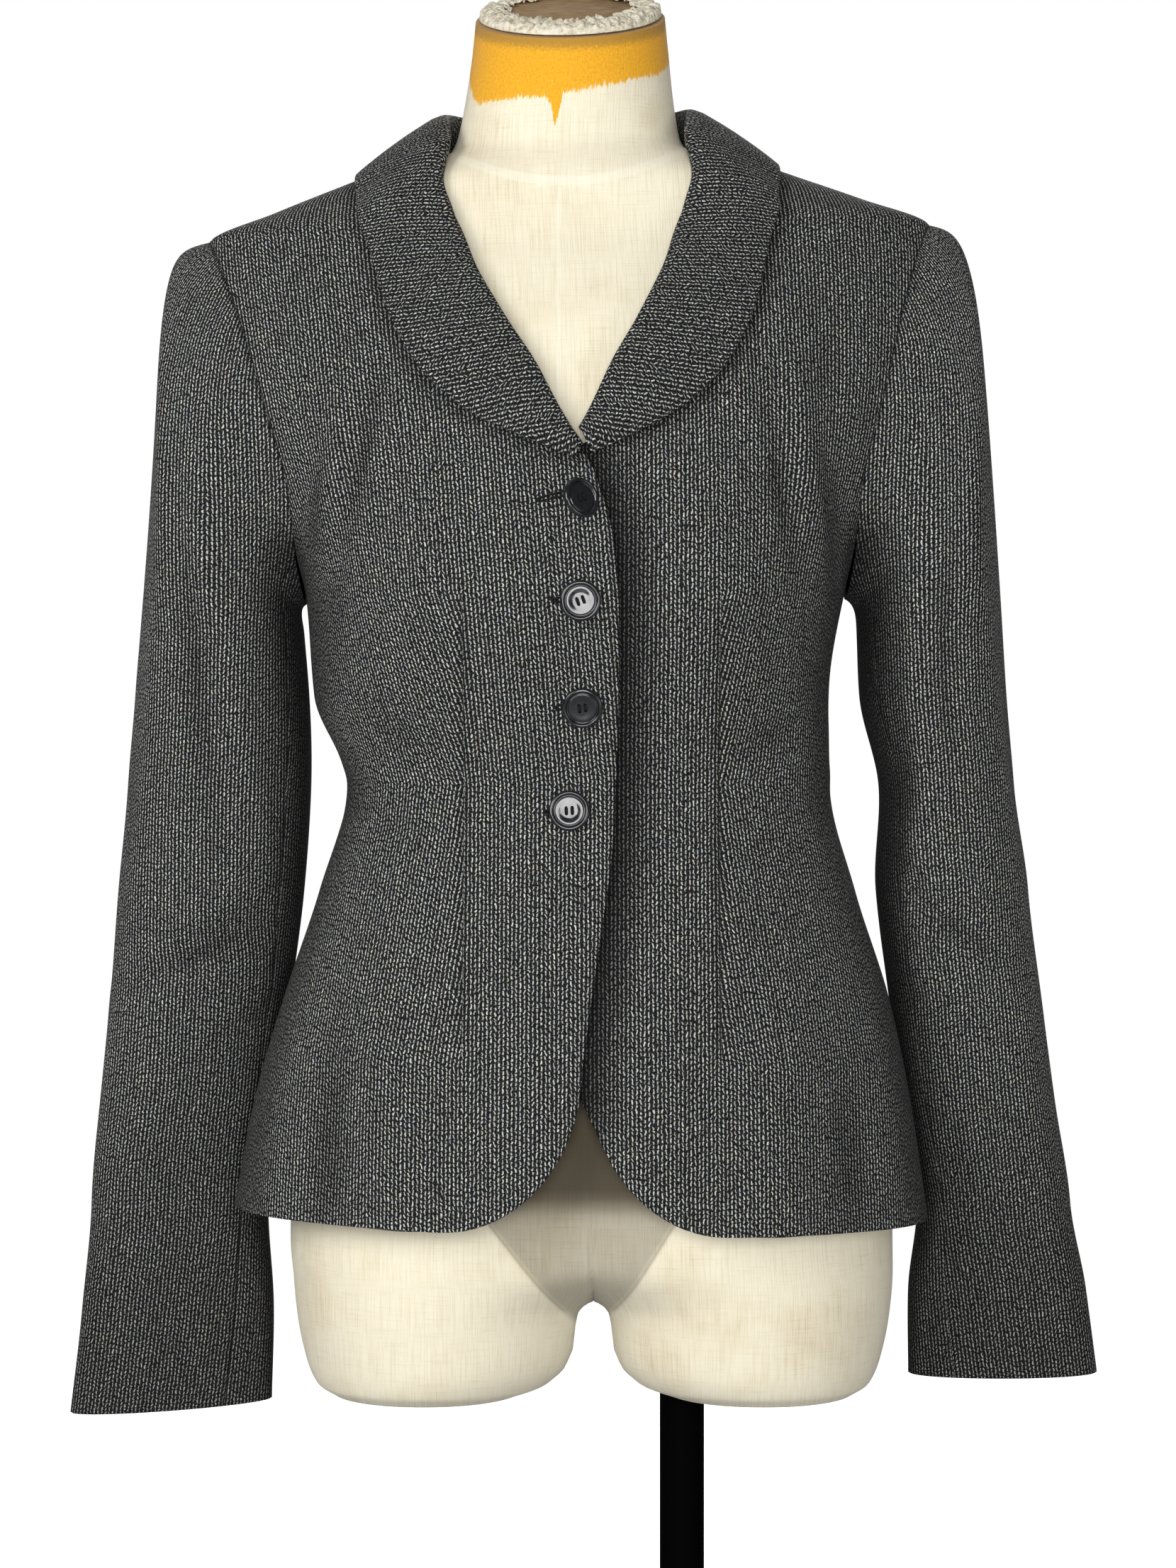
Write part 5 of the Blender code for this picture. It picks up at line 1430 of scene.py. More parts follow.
def lining_material():
    """Black inside of the blazer, with a fine twill."""
    made, graph, shader = new_material("black_lining", Roughness=0.55, Specular_IOR_Level=0.3)
    place = graph.split(graph.attribute("grain"))
    slope = graph.sum("ADD", place["X"], place["Y"])
    twill = graph.sum("SINE", graph.sum("MULTIPLY", slope, LINING_TWILL))
    dust = graph.noise(graph.joined(place["X"], place["Y"]), LINING_DUST, 3.0)
    tone = graph.sum("MULTIPLY_ADD", twill, LINING_SHOWS, dust)
    graph.feed(shader.inputs["Base Color"], graph.ramp(tone, LINING_TONES))
    graph.feed(shader.inputs["Normal"], graph.bump(twill, *LINING_RELIEF))
    return made


def body_shade(side, points, dark, sewn, collar_edge, armpit):
    """Shade of a front or a back: in its folds, at its seams, under the collar and where an arm is near."""
    under_collar = EDGE_SHADE * near_shade(points, collar_edge, EDGE_SHADE_WIDTH)
    in_armpit = ARMPIT_SHADE * near_shade(points, armpit, ARMPIT_WIDTH)
    beside = np.maximum(under_collar, side_shade(side, points))
    return np.maximum.reduce((dark, seam_shade(points, sewn), in_armpit, beside))


def sleeve_shade(side, points, dark, sewn, facing, armpit):
    """Shade of a sleeve: in its folds, at its seams and cuff, in the armpit and where it faces the body."""
    cuff = SLEEVES[side].rows[0, 0]
    low = CUFF_SHADE * ease(CUFF_SHADE_REACH, 0.0, points[..., 2] - WAIST - cuff)
    in_armpit = ARMPIT_SHADE * near_shade(points, armpit, ARMPIT_WIDTH)
    beside = np.maximum(low, inner_shade(side, points, facing))
    return np.maximum.reduce((dark, seam_shade(points, sewn), in_armpit, beside))


def build_cloth():
    """The ten sewn pieces of the blazer."""
    weave = weave_group()
    body = wool_material("wool_body", weave, BODY_WEAVE)
    arm = wool_material("wool_sleeve", weave, SLEEVE_WEAVE)
    neck = wool_material("wool_collar", weave, COLLAR_WEAVE)
    lining = lining_material()
    for side, word in ((RIGHT, "right"), (LEFT, "left")):
        collar, collar_grain, collar_facing = collar_grid(side)
        armpit = cloth_middle(*armhole(side, np.radians(ARMPIT_ANGLES), behind=False))
        points, grain, dark = front_grid(side)
        sewn = ("last_row", "last_column")
        points = draw_in(points, sewn, SEAM_GAP / 2)
        shade = body_shade(side, points, dark, sewn, collar[:, -1], armpit)
        if side == RIGHT:
            lap_edge = points[:, 0]
        else:
            shade = np.maximum(shade, lap_shade(points, lap_edge))
        add_cloth("front_" + word, points, grain, shade, outward_of(points), CLOTH, (body, lining), sewn)
        points, grain, dark = back_grid(side)
        sewn = ("last_row", "first_column", "last_column")
        points = draw_in(points, sewn, SEAM_GAP / 2)
        shade = body_shade(side, points, dark, sewn, collar[:, -1], armpit)
        add_cloth("back_" + word, points, grain, shade, outward_of(points), CLOTH, (body, lining), sewn)
        sewn = ("first_column", "last_row")
        points = draw_in(collar, sewn, SEAM_GAP / 2)
        shade = seam_shade(points, sewn)
        finishes = (neck, neck)
        add_cloth("collar_" + word, points, collar_grain, shade, collar_facing, COLLAR_CLOTH, finishes, sewn)
        upper_start = tuple(share - 1 for share in HINDARM_SEAM)
        for piece, first, last, columns in (
                ("sleeve_upper_", upper_start, FOREARM_SEAM, UPPER_SLEEVE_COLUMNS),
                ("sleeve_under_", FOREARM_SEAM, HINDARM_SEAM, UNDER_SLEEVE_COLUMNS)):
            points, grain, facing, dark = sleeve_grid(side, first, last, columns)
            points = draw_in(points, ("first_column", "last_column"), SEAM_GAP / 2)
            sewn = ("first_column", "last_column", "first_row")
            shade = sleeve_shade(side, points, dark, sewn, facing, armpit)
            add_cloth(piece + word, points, grain, shade, facing, CLOTH, (arm, lining), sewn)


def add_cloth(node, points, grain, shade, facing, thickness, finishes, sewn):
    """One sewn piece, shown in place of its solid."""
    name = "cloth_" + node
    mesh = cloth_mesh(name, points, grain, shade, facing, thickness, finishes, sewn)
    piece = add_piece(name, mesh, node)


# Buttons, their thread and their buttonholes
BUTTON_TOP = Table(
    ("radius", "height"),
    (0, 0.0023),
    (0.004, 0.00238),
    (0.007, 0.00262),
    (0.0075, 0.00258),
    (0.008, 0.00222),
    (0.0084, 0.00232),
    (0.0089, 0.00312),
    (0.0096, 0.00346),
    (0.0103, 0.00326),
    (0.0108, 0.0027),
    (0.011, 0.0022),
)
BUTTON_UNDER = ((0.011, 0.0014), (0.0106, 0.0006), (BUTTON_FOOT, 0.0), (0.0, 0.0))
BUTTON_RINGS = 67
BUTTON_SIDES = 72
DRILL_SIDES = 16
DRILL_LENGTH = 0.02
BUTTON_SPIN = (20.0, 20.0, 8.0, 3.0)  # degrees, from the top button down
THREAD_RADIUS = 0.0004
THREAD_STRANDS = (-0.00056, 0.0, 0.00056)
THREAD_RISE = 0.0009
THREAD_STEPS = 12
THREAD_SIDES = 8
# Both ends of each buttonhole from the middle, its height and its rise, from the top one down
BUTTONHOLES = Table(
    ("from_x", "to_x", "height", "rise"),
    (-0.0205, 0.0075, 0.151, 0.0066),
    (-0.0125, 0.011, 0.0982, 0.0004),
    (-0.0105, 0.0115, 0.0418, 0),
    (-0.016, 0.006, -0.0153, -0.0004),
)
HOLE_HALF_WIDTH = 0.00115
HOLE_STITCH = 0.00062  # radius of the stitched edge
HOLE_STEPS = 150
HOLE_STITCHES = 46
STITCH_DEPTH = 0.22
HOLE_END = 0.35  # power that squares the ends of a buttonhole
TUBE_ASIDE = np.array((0.03, -1.0, 0.02))  # no thread runs this way


def ring_faces(near, far):
    """Four-cornered faces between rings of points and the rings that follow them."""
    faces = np.stack((near, np.roll(near, -1, axis=-1), np.roll(far, -1, axis=-1), far), axis=-1)
    return faces.reshape(-1, 4).tolist()


def tube_mesh(path, radii, sides, closed):
    """Vertices and faces of a round tube along a path."""
    path = np.asarray(path, dtype=float)
    steps = len(path)
    if closed:
        ahead = np.roll(path, -1, axis=0) - np.roll(path, 1, axis=0)
    else:
        ahead = np.gradient(path, axis=0)
    ahead = unit(ahead)
    aside = unit(np.cross(ahead, TUBE_ASIDE))
    above = np.cross(aside, ahead)
    angles = circle(sides)
    ring = (aside[:, None] * np.cos(angles)[None, :, None] + above[:, None] * np.sin(angles)[None, :, None])
    vertices = (path[:, None] + ring * np.asarray(radii)[:, None, None]).reshape(-1, 3)
    index = np.arange(steps * sides).reshape(steps, sides)
    if closed:
        return vertices, ring_faces(index, np.roll(index, -1, axis=0))
    return vertices, ring_faces(index[:-1], index[1:]) + [index[0, ::-1].tolist(), index[-1].tolist()]


def joined_mesh(name, parts, finish):
    """One mesh of several lots of vertices and faces."""
    vertices = []
    faces = []
    for part_vertices, part_faces in parts:
        start = len(vertices)
        vertices.extend(np.asarray(part_vertices).tolist())
        faces.extend([[start + corner for corner in face] for face in part_faces])
    mesh = bpy.data.meshes.new(name)
    mesh.from_pydata(vertices, [], faces)
    mesh.materials.append(finish)
    mesh.shade_smooth()
    return mesh


def drilled_mesh(name, mesh, places, radius, length, sides):
    """A mesh with upright round holes cut in it at some places."""
    item = new_object(name, mesh)
    drills = []
    for place in places:
        bpy.ops.mesh.primitive_cylinder_add(vertices=sides, radius=radius, depth=length, location=place)
        drills.append(bpy.context.object)
        cut = item.modifiers.new("hole", "BOOLEAN")
        cut.operation = "DIFFERENCE"
        cut.object = drills[-1]
    made = bpy.data.meshes.new_from_object(item.evaluated_get(bpy.context.evaluated_depsgraph_get()))
    made.name = name
    for used in (item, *drills):
        bpy.data.objects.remove(used, do_unlink=True)
    made.shade_smooth()
    made.set_sharp_from_angle(angle=SOFT_EDGE)
    return made


def lathe_mesh(name, profile, sides):
    """A profile of radius and height turned round the upright axis."""
    angles = circle(sides)
    shape = bmesh.new()
    rings = []
    for radius, height in profile:
        if radius < TINY:
            rings.append([shape.verts.new((0.0, 0.0, height))])
        else:
            ring = [(radius * math.cos(angle), radius * math.sin(angle), height) for angle in angles]
            rings.append([shape.verts.new(place) for place in ring])
    for near, far in zip(rings[:-1], rings[1:]):
        for index in range(sides):
            following = (index + 1) % sides
            corners = [near[index % len(near)], near[following % len(near)],
                       far[following % len(far)], far[index % len(far)]]
            shape.faces.new(list(dict.fromkeys(corners)))
    bmesh.ops.recalc_face_normals(shape, faces=shape.faces[:])
    mesh = bpy.data.meshes.new(name)
    shape.to_mesh(mesh)
    shape.free()
    mesh.shade_smooth()
    return mesh


def button_mesh():
    """A turned four-hole button with a raised rim and a dished face."""
    radii = np.linspace(0.0, BUTTON_RADIUS, BUTTON_RINGS)
    profile = list(zip(radii, BUTTON_TOP.at("height", radii))) + list(BUTTON_UNDER)
    turned = lathe_mesh("button_turned", profile, BUTTON_SIDES)
    half = BUTTON_HOLE_SPACING / 2
    places = [(x, y, 0.0) for x in (-half, half) for y in (-half, half)]
    return drilled_mesh("button", turned, places, BUTTON_HOLE, DRILL_LENGTH, DRILL_SIDES)


def button_material():
    """Polished black button, faintly smeared."""
    return flecked_material(
        "polished_black", flecks=(EVEN, 260.0, 3.0, 0.5),
        tones=((0.2, (0.0045, 0.0048, 0.006)), (0.9, (0.01, 0.011, 0.014))),
        roughness=(0.3, 0.75, 0.1, 0.24), Specular_IOR_Level=0.5, Coat_Weight=0.4, Coat_Roughness=0.06)


def thread_material():
    """Dark sewing thread with a twist."""
    return flecked_material(
        "black_thread", flecks=(EVEN, 1600.0, 2.0, 0.5),
        tones=((0.25, (0.003, 0.003, 0.004)), (0.85, (0.014, 0.014, 0.016))),
        relief=(0.5, 0.0003), Roughness=0.8, Specular_IOR_Level=0.2)


def button_placing(height, across, seat, tip):
    """Where a button sits and how it is turned."""
    turn = turn_at(LEFT, across, height)
    out = Vector(cloth_normal(turn, height))
    tipped = Matrix.Rotation(math.radians(tip), 3, "Z") @ out
    side = Vector((0.0, 0.0, 1.0)).cross(tipped).normalized()
    upright = tipped.cross(side)
    lift = LAP_LIFT + CLOTH / 2 + seat + BUTTON_FOOT * math.sin(math.radians(tip))
    turned = Matrix((side, upright, tipped)).transposed().to_4x4()
    return Matrix.Translation(Vector(cloth_point(turn, height, lift))) @ turned


def thread_parts():
    """Two bars of three strands each, over the face from the upper holes to the lower."""
    half = BUTTON_HOLE_SPACING / 2
    share = np.linspace(-1.0, 1.0, THREAD_STEPS)
    top = float(BUTTON_TOP.at("height", 0.0)) + THREAD_RISE * (1 - share ** 4) - THREAD_RADIUS
    radii = np.full(THREAD_STEPS, THREAD_RADIUS)
    parts = []
    for bar in (-half, half):
        for strand in THREAD_STRANDS:
            path = np.stack((np.full(THREAD_STEPS, bar + strand), top, half * share), axis=-1)
            vertices, faces = tube_mesh(path, radii, THREAD_SIDES, False)
            parts.append((vertices[:, [0, 2, 1]], [face[::-1] for face in faces]))
    return parts


def build_buttons():
    """Four buttons, each with its thread and its buttonhole."""
    polished = button_material()
    thread = thread_material()
    mesh = button_mesh()
    mesh.materials.clear()
    mesh.materials.append(polished)
    sewn = joined_mesh("button_thread", thread_parts(), thread)
    for number, row in enumerate(reversed(BUTTONS.rows), start=1):
        spin = Matrix.Rotation(math.radians(BUTTON_SPIN[number - 1]), 4, "Z")
        placing = button_placing(*row) @ spin
        for name, source, node in (("turned_button_%d" % number, mesh, "button_%d" % number),
                                   ("thread_bars_%d" % number, sewn, None)):
            own = source.copy()
            own.transform(placing)
            add_piece(name, own, node)
        build_buttonhole(number, thread)


def build_buttonhole(number, finish):
    """A stitched edge round a slit in the right front."""
    from_x, to_x, height, rise = BUTTONHOLES.rows[number - 1]
    length = to_x - from_x
    angles = circle(HOLE_STEPS)
    rounding = np.sign(np.cos(angles)) * np.abs(np.cos(angles)) ** HOLE_END
    x = from_x + length / 2 * (1 + rounding)
    own_height = height + rise * (x - from_x) / length + HOLE_HALF_WIDTH * np.sin(angles)
    own_across = -(x - BODY.at("sway", own_height))
    turn = turn_at(RIGHT, own_across, own_height)
    lift = front_lift(RIGHT, own_across, own_height) + CLOTH / 2 + HOLE_STITCH / 2
    path = cloth_point(turn, own_height, lift)
    turns = np.linspace(0.0, 2 * math.pi * HOLE_STITCHES, HOLE_STEPS, endpoint=False)
    ribs = 1 + STITCH_DEPTH * np.cos(turns)
    parts = [tube_mesh(path, HOLE_STITCH * ribs, THREAD_SIDES, True)]
    name = "buttonhole_%d" % number
    add_piece(name, joined_mesh(name, parts, finish))


# Dress form on the finer grid
FORM_AROUND = 112
FORM_LOOPS = 150
FOOT_LOOPS = 44
TEAR = Table(
    ("across", "height"),
    (-0.062, 0.377),
    (-0.043, 0.3814),
    (-0.019, 0.382),
    (-0.0145, 0.38),
    (-0.011, 0.3645),
    (-0.0075, 0.3825),
    (0.007, 0.3865),
    (0.022, 0.3897),
    (0.037, 0.3944),
    (0.056, 0.399),
)
TEAR_BEHIND = 0.412
NECK_SEAM = {"height": 0.3335, "middle": -0.006, "bow": 4.6}
FRONT_SEAM_X = -0.0088
CROTCH_SEAM_X = 0.0055
THIGH_SEAMS = ((-0.04, -0.245, -0.0065, -0.289), (0.0232, -0.287, 0.0492, -0.244))
PANEL_SHADE = 0.5  # painted shade: how dark the form lies between those seams
PANEL_SHADE_WIDTH = 0.003
GAP_SHADE = 0.95  # painted shadow: how dark it lies where the fronts part
GAP_SHADE_HEIGHTS = (HEM - 0.012, HEM + 0.022)
SEAM_FAR = 0.05  # stands for any place far from a seam
TEAR_BLEND = (-0.02, 0.02)  # depths between which the tear passes from its front edge to its back
# Linen: its threads by their scale along and across them, how much each darkens it, and its tones
LINEN_WARP = (1500.0, 34.0, 0.0)
LINEN_WEFT = (40.0, 1500.0, 0.0)
LINEN_SLUB = (0.44, 0.72)
LINEN_CROSS = (0.52, 0.78)
LINEN_STAIN = (0.45, 0.75)
LINEN_STAIN_SCALE = 15.0
LINEN_DARKER = {"slub": 0.42, "cross": 0.3, "stain": 0.4}
LINEN_RISE = {"slub": 0.6, "cross": 0.4, "neck_line": 0.9, "front_line": 0.7, "bare": -1.6}
LINEN_RELIEF = (0.35, 0.0006)
LINEN_TONES = ((0.0, (0.84, 0.78, 0.61)), (0.5, (0.76, 0.68, 0.5)), (1.0, (0.62, 0.52, 0.35)))
# colour of the painted shade between the thigh seams and of the painted shadow under the parted fronts
LINEN_SHADE = (0.056, 0.042, 0.024, 1.0)
# Seams of the linen: from where to where each fades out beside its line
NECK_LINE = (0.0016, 0.004, 1.0, 0.0)
FRONT_LINE = (0.0006, 0.0018, 1.0, 0.0)
THIGH_LINE = (0.0003, 0.0012, 1.0, 0.0)
THIGH_LINE_FADE = 0.004  # height over which the thigh seams end above the crotch
PALE_SEAM = (0.93, 0.89, 0.76, 1.0)
PALE_SEAM_SHARE = 0.32
THIGH_SEAM = (0.42, 0.36, 0.24, 1.0)
THIGH_SEAM_SHARE = 0.45
# Torn edge of the linen and the foam above it
RAGGED_STRETCH = (1.0, 0.22, 0.0)
RAGGED_SCALE = 620.0
RAGGED_DEPTH = 0.009
BARE_EDGE = (-0.0003, 0.0004)
FRAYED_EDGE = (0.0002, 0.0016, 0.45, 0.0)
FRAYED = (0.9, 0.78, 0.5, 1.0)
FOAM_PORES = 700.0
FOAM_TONES = ((0.2, (0.7, 0.31, 0.012)), (0.55, (0.83, 0.41, 0.022)), (0.9, (0.88, 0.5, 0.05)))
FOAM_WORN = (0.36, 0.2, 0.04, 1.0)
FOAM_WORN_EDGE = (0.012, 0.0055, 0.0, 0.8)
FOAM_WORN_RAGGED = 0.006


def line_side(x, z, line):
    """Distance above a sloping line."""
    from_x, from_z, to_x, to_z = line
    run = np.array((to_x - from_x, to_z - from_z)) / np.hypot(to_x - from_x, to_z - from_z)
    return (z - from_z) * run[0] - (x - from_x) * run[1]


def form_marks(points):
    """Places beside the form's neck seam, front seams and tear, beside its thigh seams, and its painted
    shade.
    """
    x = points[:, 0]
    height = points[:, 2] - WAIST
    in_front = points[:, 1] < 0
    neck = height - NECK_SEAM["height"] - NECK_SEAM["bow"] * (x - NECK_SEAM["middle"]) ** 2
    seam_x = np.where(height > 0, FRONT_SEAM_X, CROTCH_SEAM_X)
    seam = np.where(in_front & (neck < 0), x - seam_x, SEAM_FAR)
    blend = ease(*TEAR_BLEND, points[:, 1])
    edge = TEAR.at("height", x) * (1 - blend) + TEAR_BEHIND * blend
    marks = np.stack((np.where(in_front, neck, SEAM_FAR), seam, height - edge), axis=-1)
    below = in_front & (height < 0)
    right, left = (np.where(below, line_side(x, height, line), -SEAM_FAR) for line in THIGH_SEAMS)
    gap = np.maximum(PANEL_SHADE, GAP_SHADE * ease(*GAP_SHADE_HEIGHTS, height))
    return marks, np.stack((right, left, gap), axis=-1)


def linen_threads(graph, flat):
    """Slubs of the linen along and across it, and its tone with stains."""
    slub = graph.ranged(graph.noise(graph.scaled(flat, LINEN_WARP), 1.0, 3.0, 0.6), *LINEN_SLUB)
    cross = graph.ranged(graph.noise(graph.scaled(flat, LINEN_WEFT), 1.0, 3.0, 0.6), *LINEN_CROSS)
    stain = graph.ranged(graph.noise(flat, LINEN_STAIN_SCALE, 3.0, 0.6), *LINEN_STAIN)
    crossed = graph.sum("MULTIPLY", cross, LINEN_DARKER["cross"])
    tone = graph.sum("MULTIPLY_ADD", slub, LINEN_DARKER["slub"], crossed)
    tone = graph.sum("MULTIPLY_ADD", stain, LINEN_DARKER["stain"], tone)
    return slub, cross, graph.ramp(tone, LINEN_TONES)


def bare_foam(graph, flat, below_top):
    """Yellow foam, worn brown at the neck's top."""
    pores = graph.noise(flat, FOAM_PORES, 4.0, 0.7)
    worn = graph.ranged(graph.sum("MULTIPLY_ADD", pores, FOAM_WORN_RAGGED, below_top), *FOAM_WORN_EDGE)
    return graph.mixed(worn, graph.ramp(pores, FOAM_TONES), FOAM_WORN)


def linen_material():
    """Unbleached linen with slubs, seams and painted shade below the fronts; its upper edge leaves the yellow
    foam of the neck bare.
    """
    made, graph, shader = new_material("unbleached_linen", Roughness=0.92, Specular_IOR_Level=0.2,
                                       Sheen_Weight=0.15)
    place, marks, panel = (graph.split(graph.attribute(name)) for name in ("grain", "marks", "panel"))
    flat = graph.joined(place["X"], place["Y"])
    slub, cross, linen = linen_threads(graph, flat)
    neck_line = graph.ranged(graph.sum("ABSOLUTE", marks["X"]), *NECK_LINE)
    front_line = graph.ranged(graph.sum("ABSOLUTE", marks["Y"]), *FRONT_LINE)
    beside = graph.sum("MINIMUM", graph.sum("ABSOLUTE", panel["X"]), graph.sum("ABSOLUTE", panel["Y"]))
    crotch = WAIST + CROTCH[0]
    above = graph.ranged(place["Y"], crotch, crotch + THIGH_LINE_FADE)
    thigh_line = graph.sum("MULTIPLY", graph.ranged(beside, *THIGH_LINE), above)
    linen = graph.mixed(graph.sum("MULTIPLY", thigh_line, THIGH_SEAM_SHARE), linen, THIGH_SEAM)
    seam = graph.sum("MULTIPLY", graph.sum("MAXIMUM", neck_line, front_line), PALE_SEAM_SHARE)
    linen = graph.mixed(seam, linen, PALE_SEAM)
    ragged = graph.noise(graph.scaled(flat, RAGGED_STRETCH), RAGGED_SCALE, 3.0, 0.65)
    edge = graph.sum("MULTIPLY_ADD", graph.sum("SUBTRACT", ragged, 0.5), RAGGED_DEPTH, marks["Z"])
    bare = graph.ranged(edge, *BARE_EDGE)
    colour = graph.mixed(bare, linen, bare_foam(graph, flat, place["Z"]))
    colour = graph.mixed(graph.ranged(graph.sum("ABSOLUTE", edge), *FRAYED_EDGE), colour, FRAYED)
    # painted shade between the thigh seams, deepening to painted shadow where the fronts part
    nearer = graph.sum("MINIMUM", panel["X"], panel["Y"])
    inside = graph.ranged(nearer, -PANEL_SHADE_WIDTH, PANEL_SHADE_WIDTH)
    colour = graph.mixed(graph.sum("MULTIPLY", inside, panel["Z"]), colour, LINEN_SHADE)
    graph.feed(shader.inputs["Base Color"], colour)
    height = graph.sum("MULTIPLY", cross, LINEN_RISE["cross"])
    for mark, rise in ((slub, "slub"), (neck_line, "neck_line"), (front_line, "front_line"), (bare, "bare")):
        height = graph.sum("MULTIPLY_ADD", mark, LINEN_RISE[rise], height)
    graph.feed(shader.inputs["Normal"], graph.bump(height, *LINEN_RELIEF))
    return made


def form_heights():
    """Heights of the form's loops, closer at the foot."""
    heights = FORM.column("height")
    foot_rows = 4
    foot = spread(lambda place: np.stack((FORM.at("half_width", place), place), axis=-1),
                  heights[0], heights[foot_rows], FOOT_LOOPS)
    return np.concatenate((foot, np.linspace(heights[foot_rows], heights[-1], FORM_LOOPS)[1:]))


def linen_round(points, legs):
    """Length round the form to each point of a half section, from the middle in front and behind."""
    arcs = run_length(points[:, None], axis=0)[:, 0]
    quarter = FORM_AROUND // 4
    behind = arcs[2 * quarter] - arcs
    closed = arcs[-1] + np.linalg.norm(points[0] - points[-1])
    index = np.arange(FORM_AROUND)
    outer = np.where(index <= quarter, arcs, behind * arcs[quarter] / behind[quarter])
    return legs + np.where(index < 3 * quarter, outer, arcs - closed)


def form_half(shape, grain):
    """One half of the form, a loft of closed loops."""
    angles = circle(FORM_AROUND)
    loops = []
    for height in form_heights():
        points = form_loop(height, angles)
        around = linen_round(points, float(FORM.at("legs", height)))
        loop = []
        for point, length in zip(points, around):
            vertex = shape.verts.new(point)
            below = WAIST + FORM.rows[-1, 0] + NECK_TILT * point[1] - point[2]
            vertex[grain] = (length, point[2], below)
            loop.append(vertex)
        loops.append(loop)
    for low, high in zip(loops[:-1], loops[1:]):
        for index in range(FORM_AROUND):
            following = (index + 1) % FORM_AROUND
            corners = (low[index], low[following], high[following], high[index])
            if max(corner.co.x for corner in corners) > MIDDLE_PLANE:
                shape.faces.new(corners)
    shape.faces.new(list(reversed(loops[0])))
    shape.faces.new(loops[-1][:FORM_AROUND // 2 + 1])
    loose = [vertex for vertex in shape.verts if not vertex.link_faces]
    bmesh.ops.delete(shape, geom=loose, context="VERTS")


def form_mesh():
    """The whole form: its half mirrored and swayed, with its grain and marks."""
    shape = bmesh.new()
    grain = shape.verts.layers.float_vector.new("grain")
    form_half(shape, grain)
    whole = shape.verts[:] + shape.edges[:] + shape.faces[:]
    bmesh.ops.mirror(shape, geom=whole, axis="X", merge_dist=MIDDLE_PLANE)
    for vertex in shape.verts:
        if vertex.co.x < 0:
            vertex[grain] = (-vertex[grain].x, vertex[grain].y, vertex[grain].z)
        height = vertex.co.z - WAIST
        vertex.co.x += float(FORM.at("sway", height))
        vertex.co.z += float(BODY.at("tilt", max(height, 0.0))) * vertex.co.x
    bmesh.ops.recalc_face_normals(shape, faces=shape.faces[:])
    mesh = bpy.data.meshes.new("form_cover")
    shape.to_mesh(mesh)
    shape.free()
    points = np.zeros(len(mesh.vertices) * 3)
    mesh.vertices.foreach_get("co", points)
    for name, values in zip(("marks", "panel"), form_marks(points.reshape(-1, 3))):
        mark = mesh.attributes.new(name, "FLOAT_VECTOR", "POINT")
        mark.data.foreach_set("vector", values.astype(np.float32).ravel())
    mesh.materials.append(linen_material())
    return mesh


def build_form():
    """The form, with a hole for the pole."""
    places = [(POLE_X, 0.0, WAIST + FORM_FOOT)]
    radius = POLE_RADIUS + POLE_CLEARANCE
    made = drilled_mesh("linen_form", form_mesh(), places, radius, 2 * POLE_DEPTH, ROUND_SIDES)
    add_piece("linen_form", made, "form_torso")


# Board and padding that close the neck, and the stand
BOARD_MARGIN = 0.01  # neck's edge round the board
PADDING_STEPS = 361
PADDING_ROWS = 26
PADDING_THICKNESS = 0.001
PADDING = Table(
    ("share", "margin", "lift"),
    (0, 0.0022, 0.0008),
    (0.15, 0.003, 0.003),
    (0.45, 0.0075, 0.0048),
    (0.75, 0.012, 0.0052),
    (1, 0.0165, 0.005),
)
# Waves of the padding: count round the neck, height, start and how far they twist across it
PADDING_TEAR = (
    (9, 0.0016, 0.4, 0),
    (23, 0.0012, 2.1, 0),
    (41, 0.0009, 4, 0),
    (67, 0.0007, 1.2, 0),
)
PADDING_CRUMPLE = (
    (13, 0.0011, 0.2, 3),
    (29, 0.001, 1.7, -5),
    (47, 0.0008, 3.9, 7),
    (71, 0.0005, 5.1, -9),
)
PADDING_TEAR_FROM = 0.4  # share of the way across where the tear begins to show
PADDING_CRUMPLE_FULL = 0.15  # share where the crumple is whole
BOARD_EDGE = 0.2  # share of the board's thickness that its upper edge rounds off
BASE_EDGE_STEPS = 6


def board_material():
    """Brown fibre board, worn."""
    return flecked_material(
        "brown_board", flecks=((1.0, 4.0, 1.0), 120.0, 4.0, 0.6),
        tones=((0.25, (0.2, 0.12, 0.055)), (0.5, (0.34, 0.22, 0.11)), (0.8, (0.5, 0.36, 0.2))),
        relief=(0.4, 0.001), Roughness=0.9, Specular_IOR_Level=0.2)


def padding_material():
    """Crumpled off-white padding."""
    return flecked_material(
        "crumpled_padding", flecks=(EVEN, 330.0, 4.0, 0.65),
        tones=((0.3, (0.42, 0.34, 0.21)), (0.5, (0.76, 0.7, 0.55)), (0.7, (0.88, 0.84, 0.73))),
        relief=(0.8, 0.002), Roughness=0.95, Specular_IOR_Level=0.15)


def neck_oval(margin, angles):
    """Points round the neck's sloping top, in from its edge by a margin."""
    top = FORM.rows[-1, 0]
    front, back, lean, width, sway = FORM.several(top, "front", "back", "lean", "half_width", "sway")
    x = np.cos(angles) * (width - margin) + sway
    y = lean + (back - front) / 2 + np.sin(angles) * ((front + back) / 2 - margin)
    z = WAIST + top + NECK_TILT * y + float(BODY.at("tilt", top)) * x + SEAM_GAP
    return np.stack((x, y, z), axis=-1)


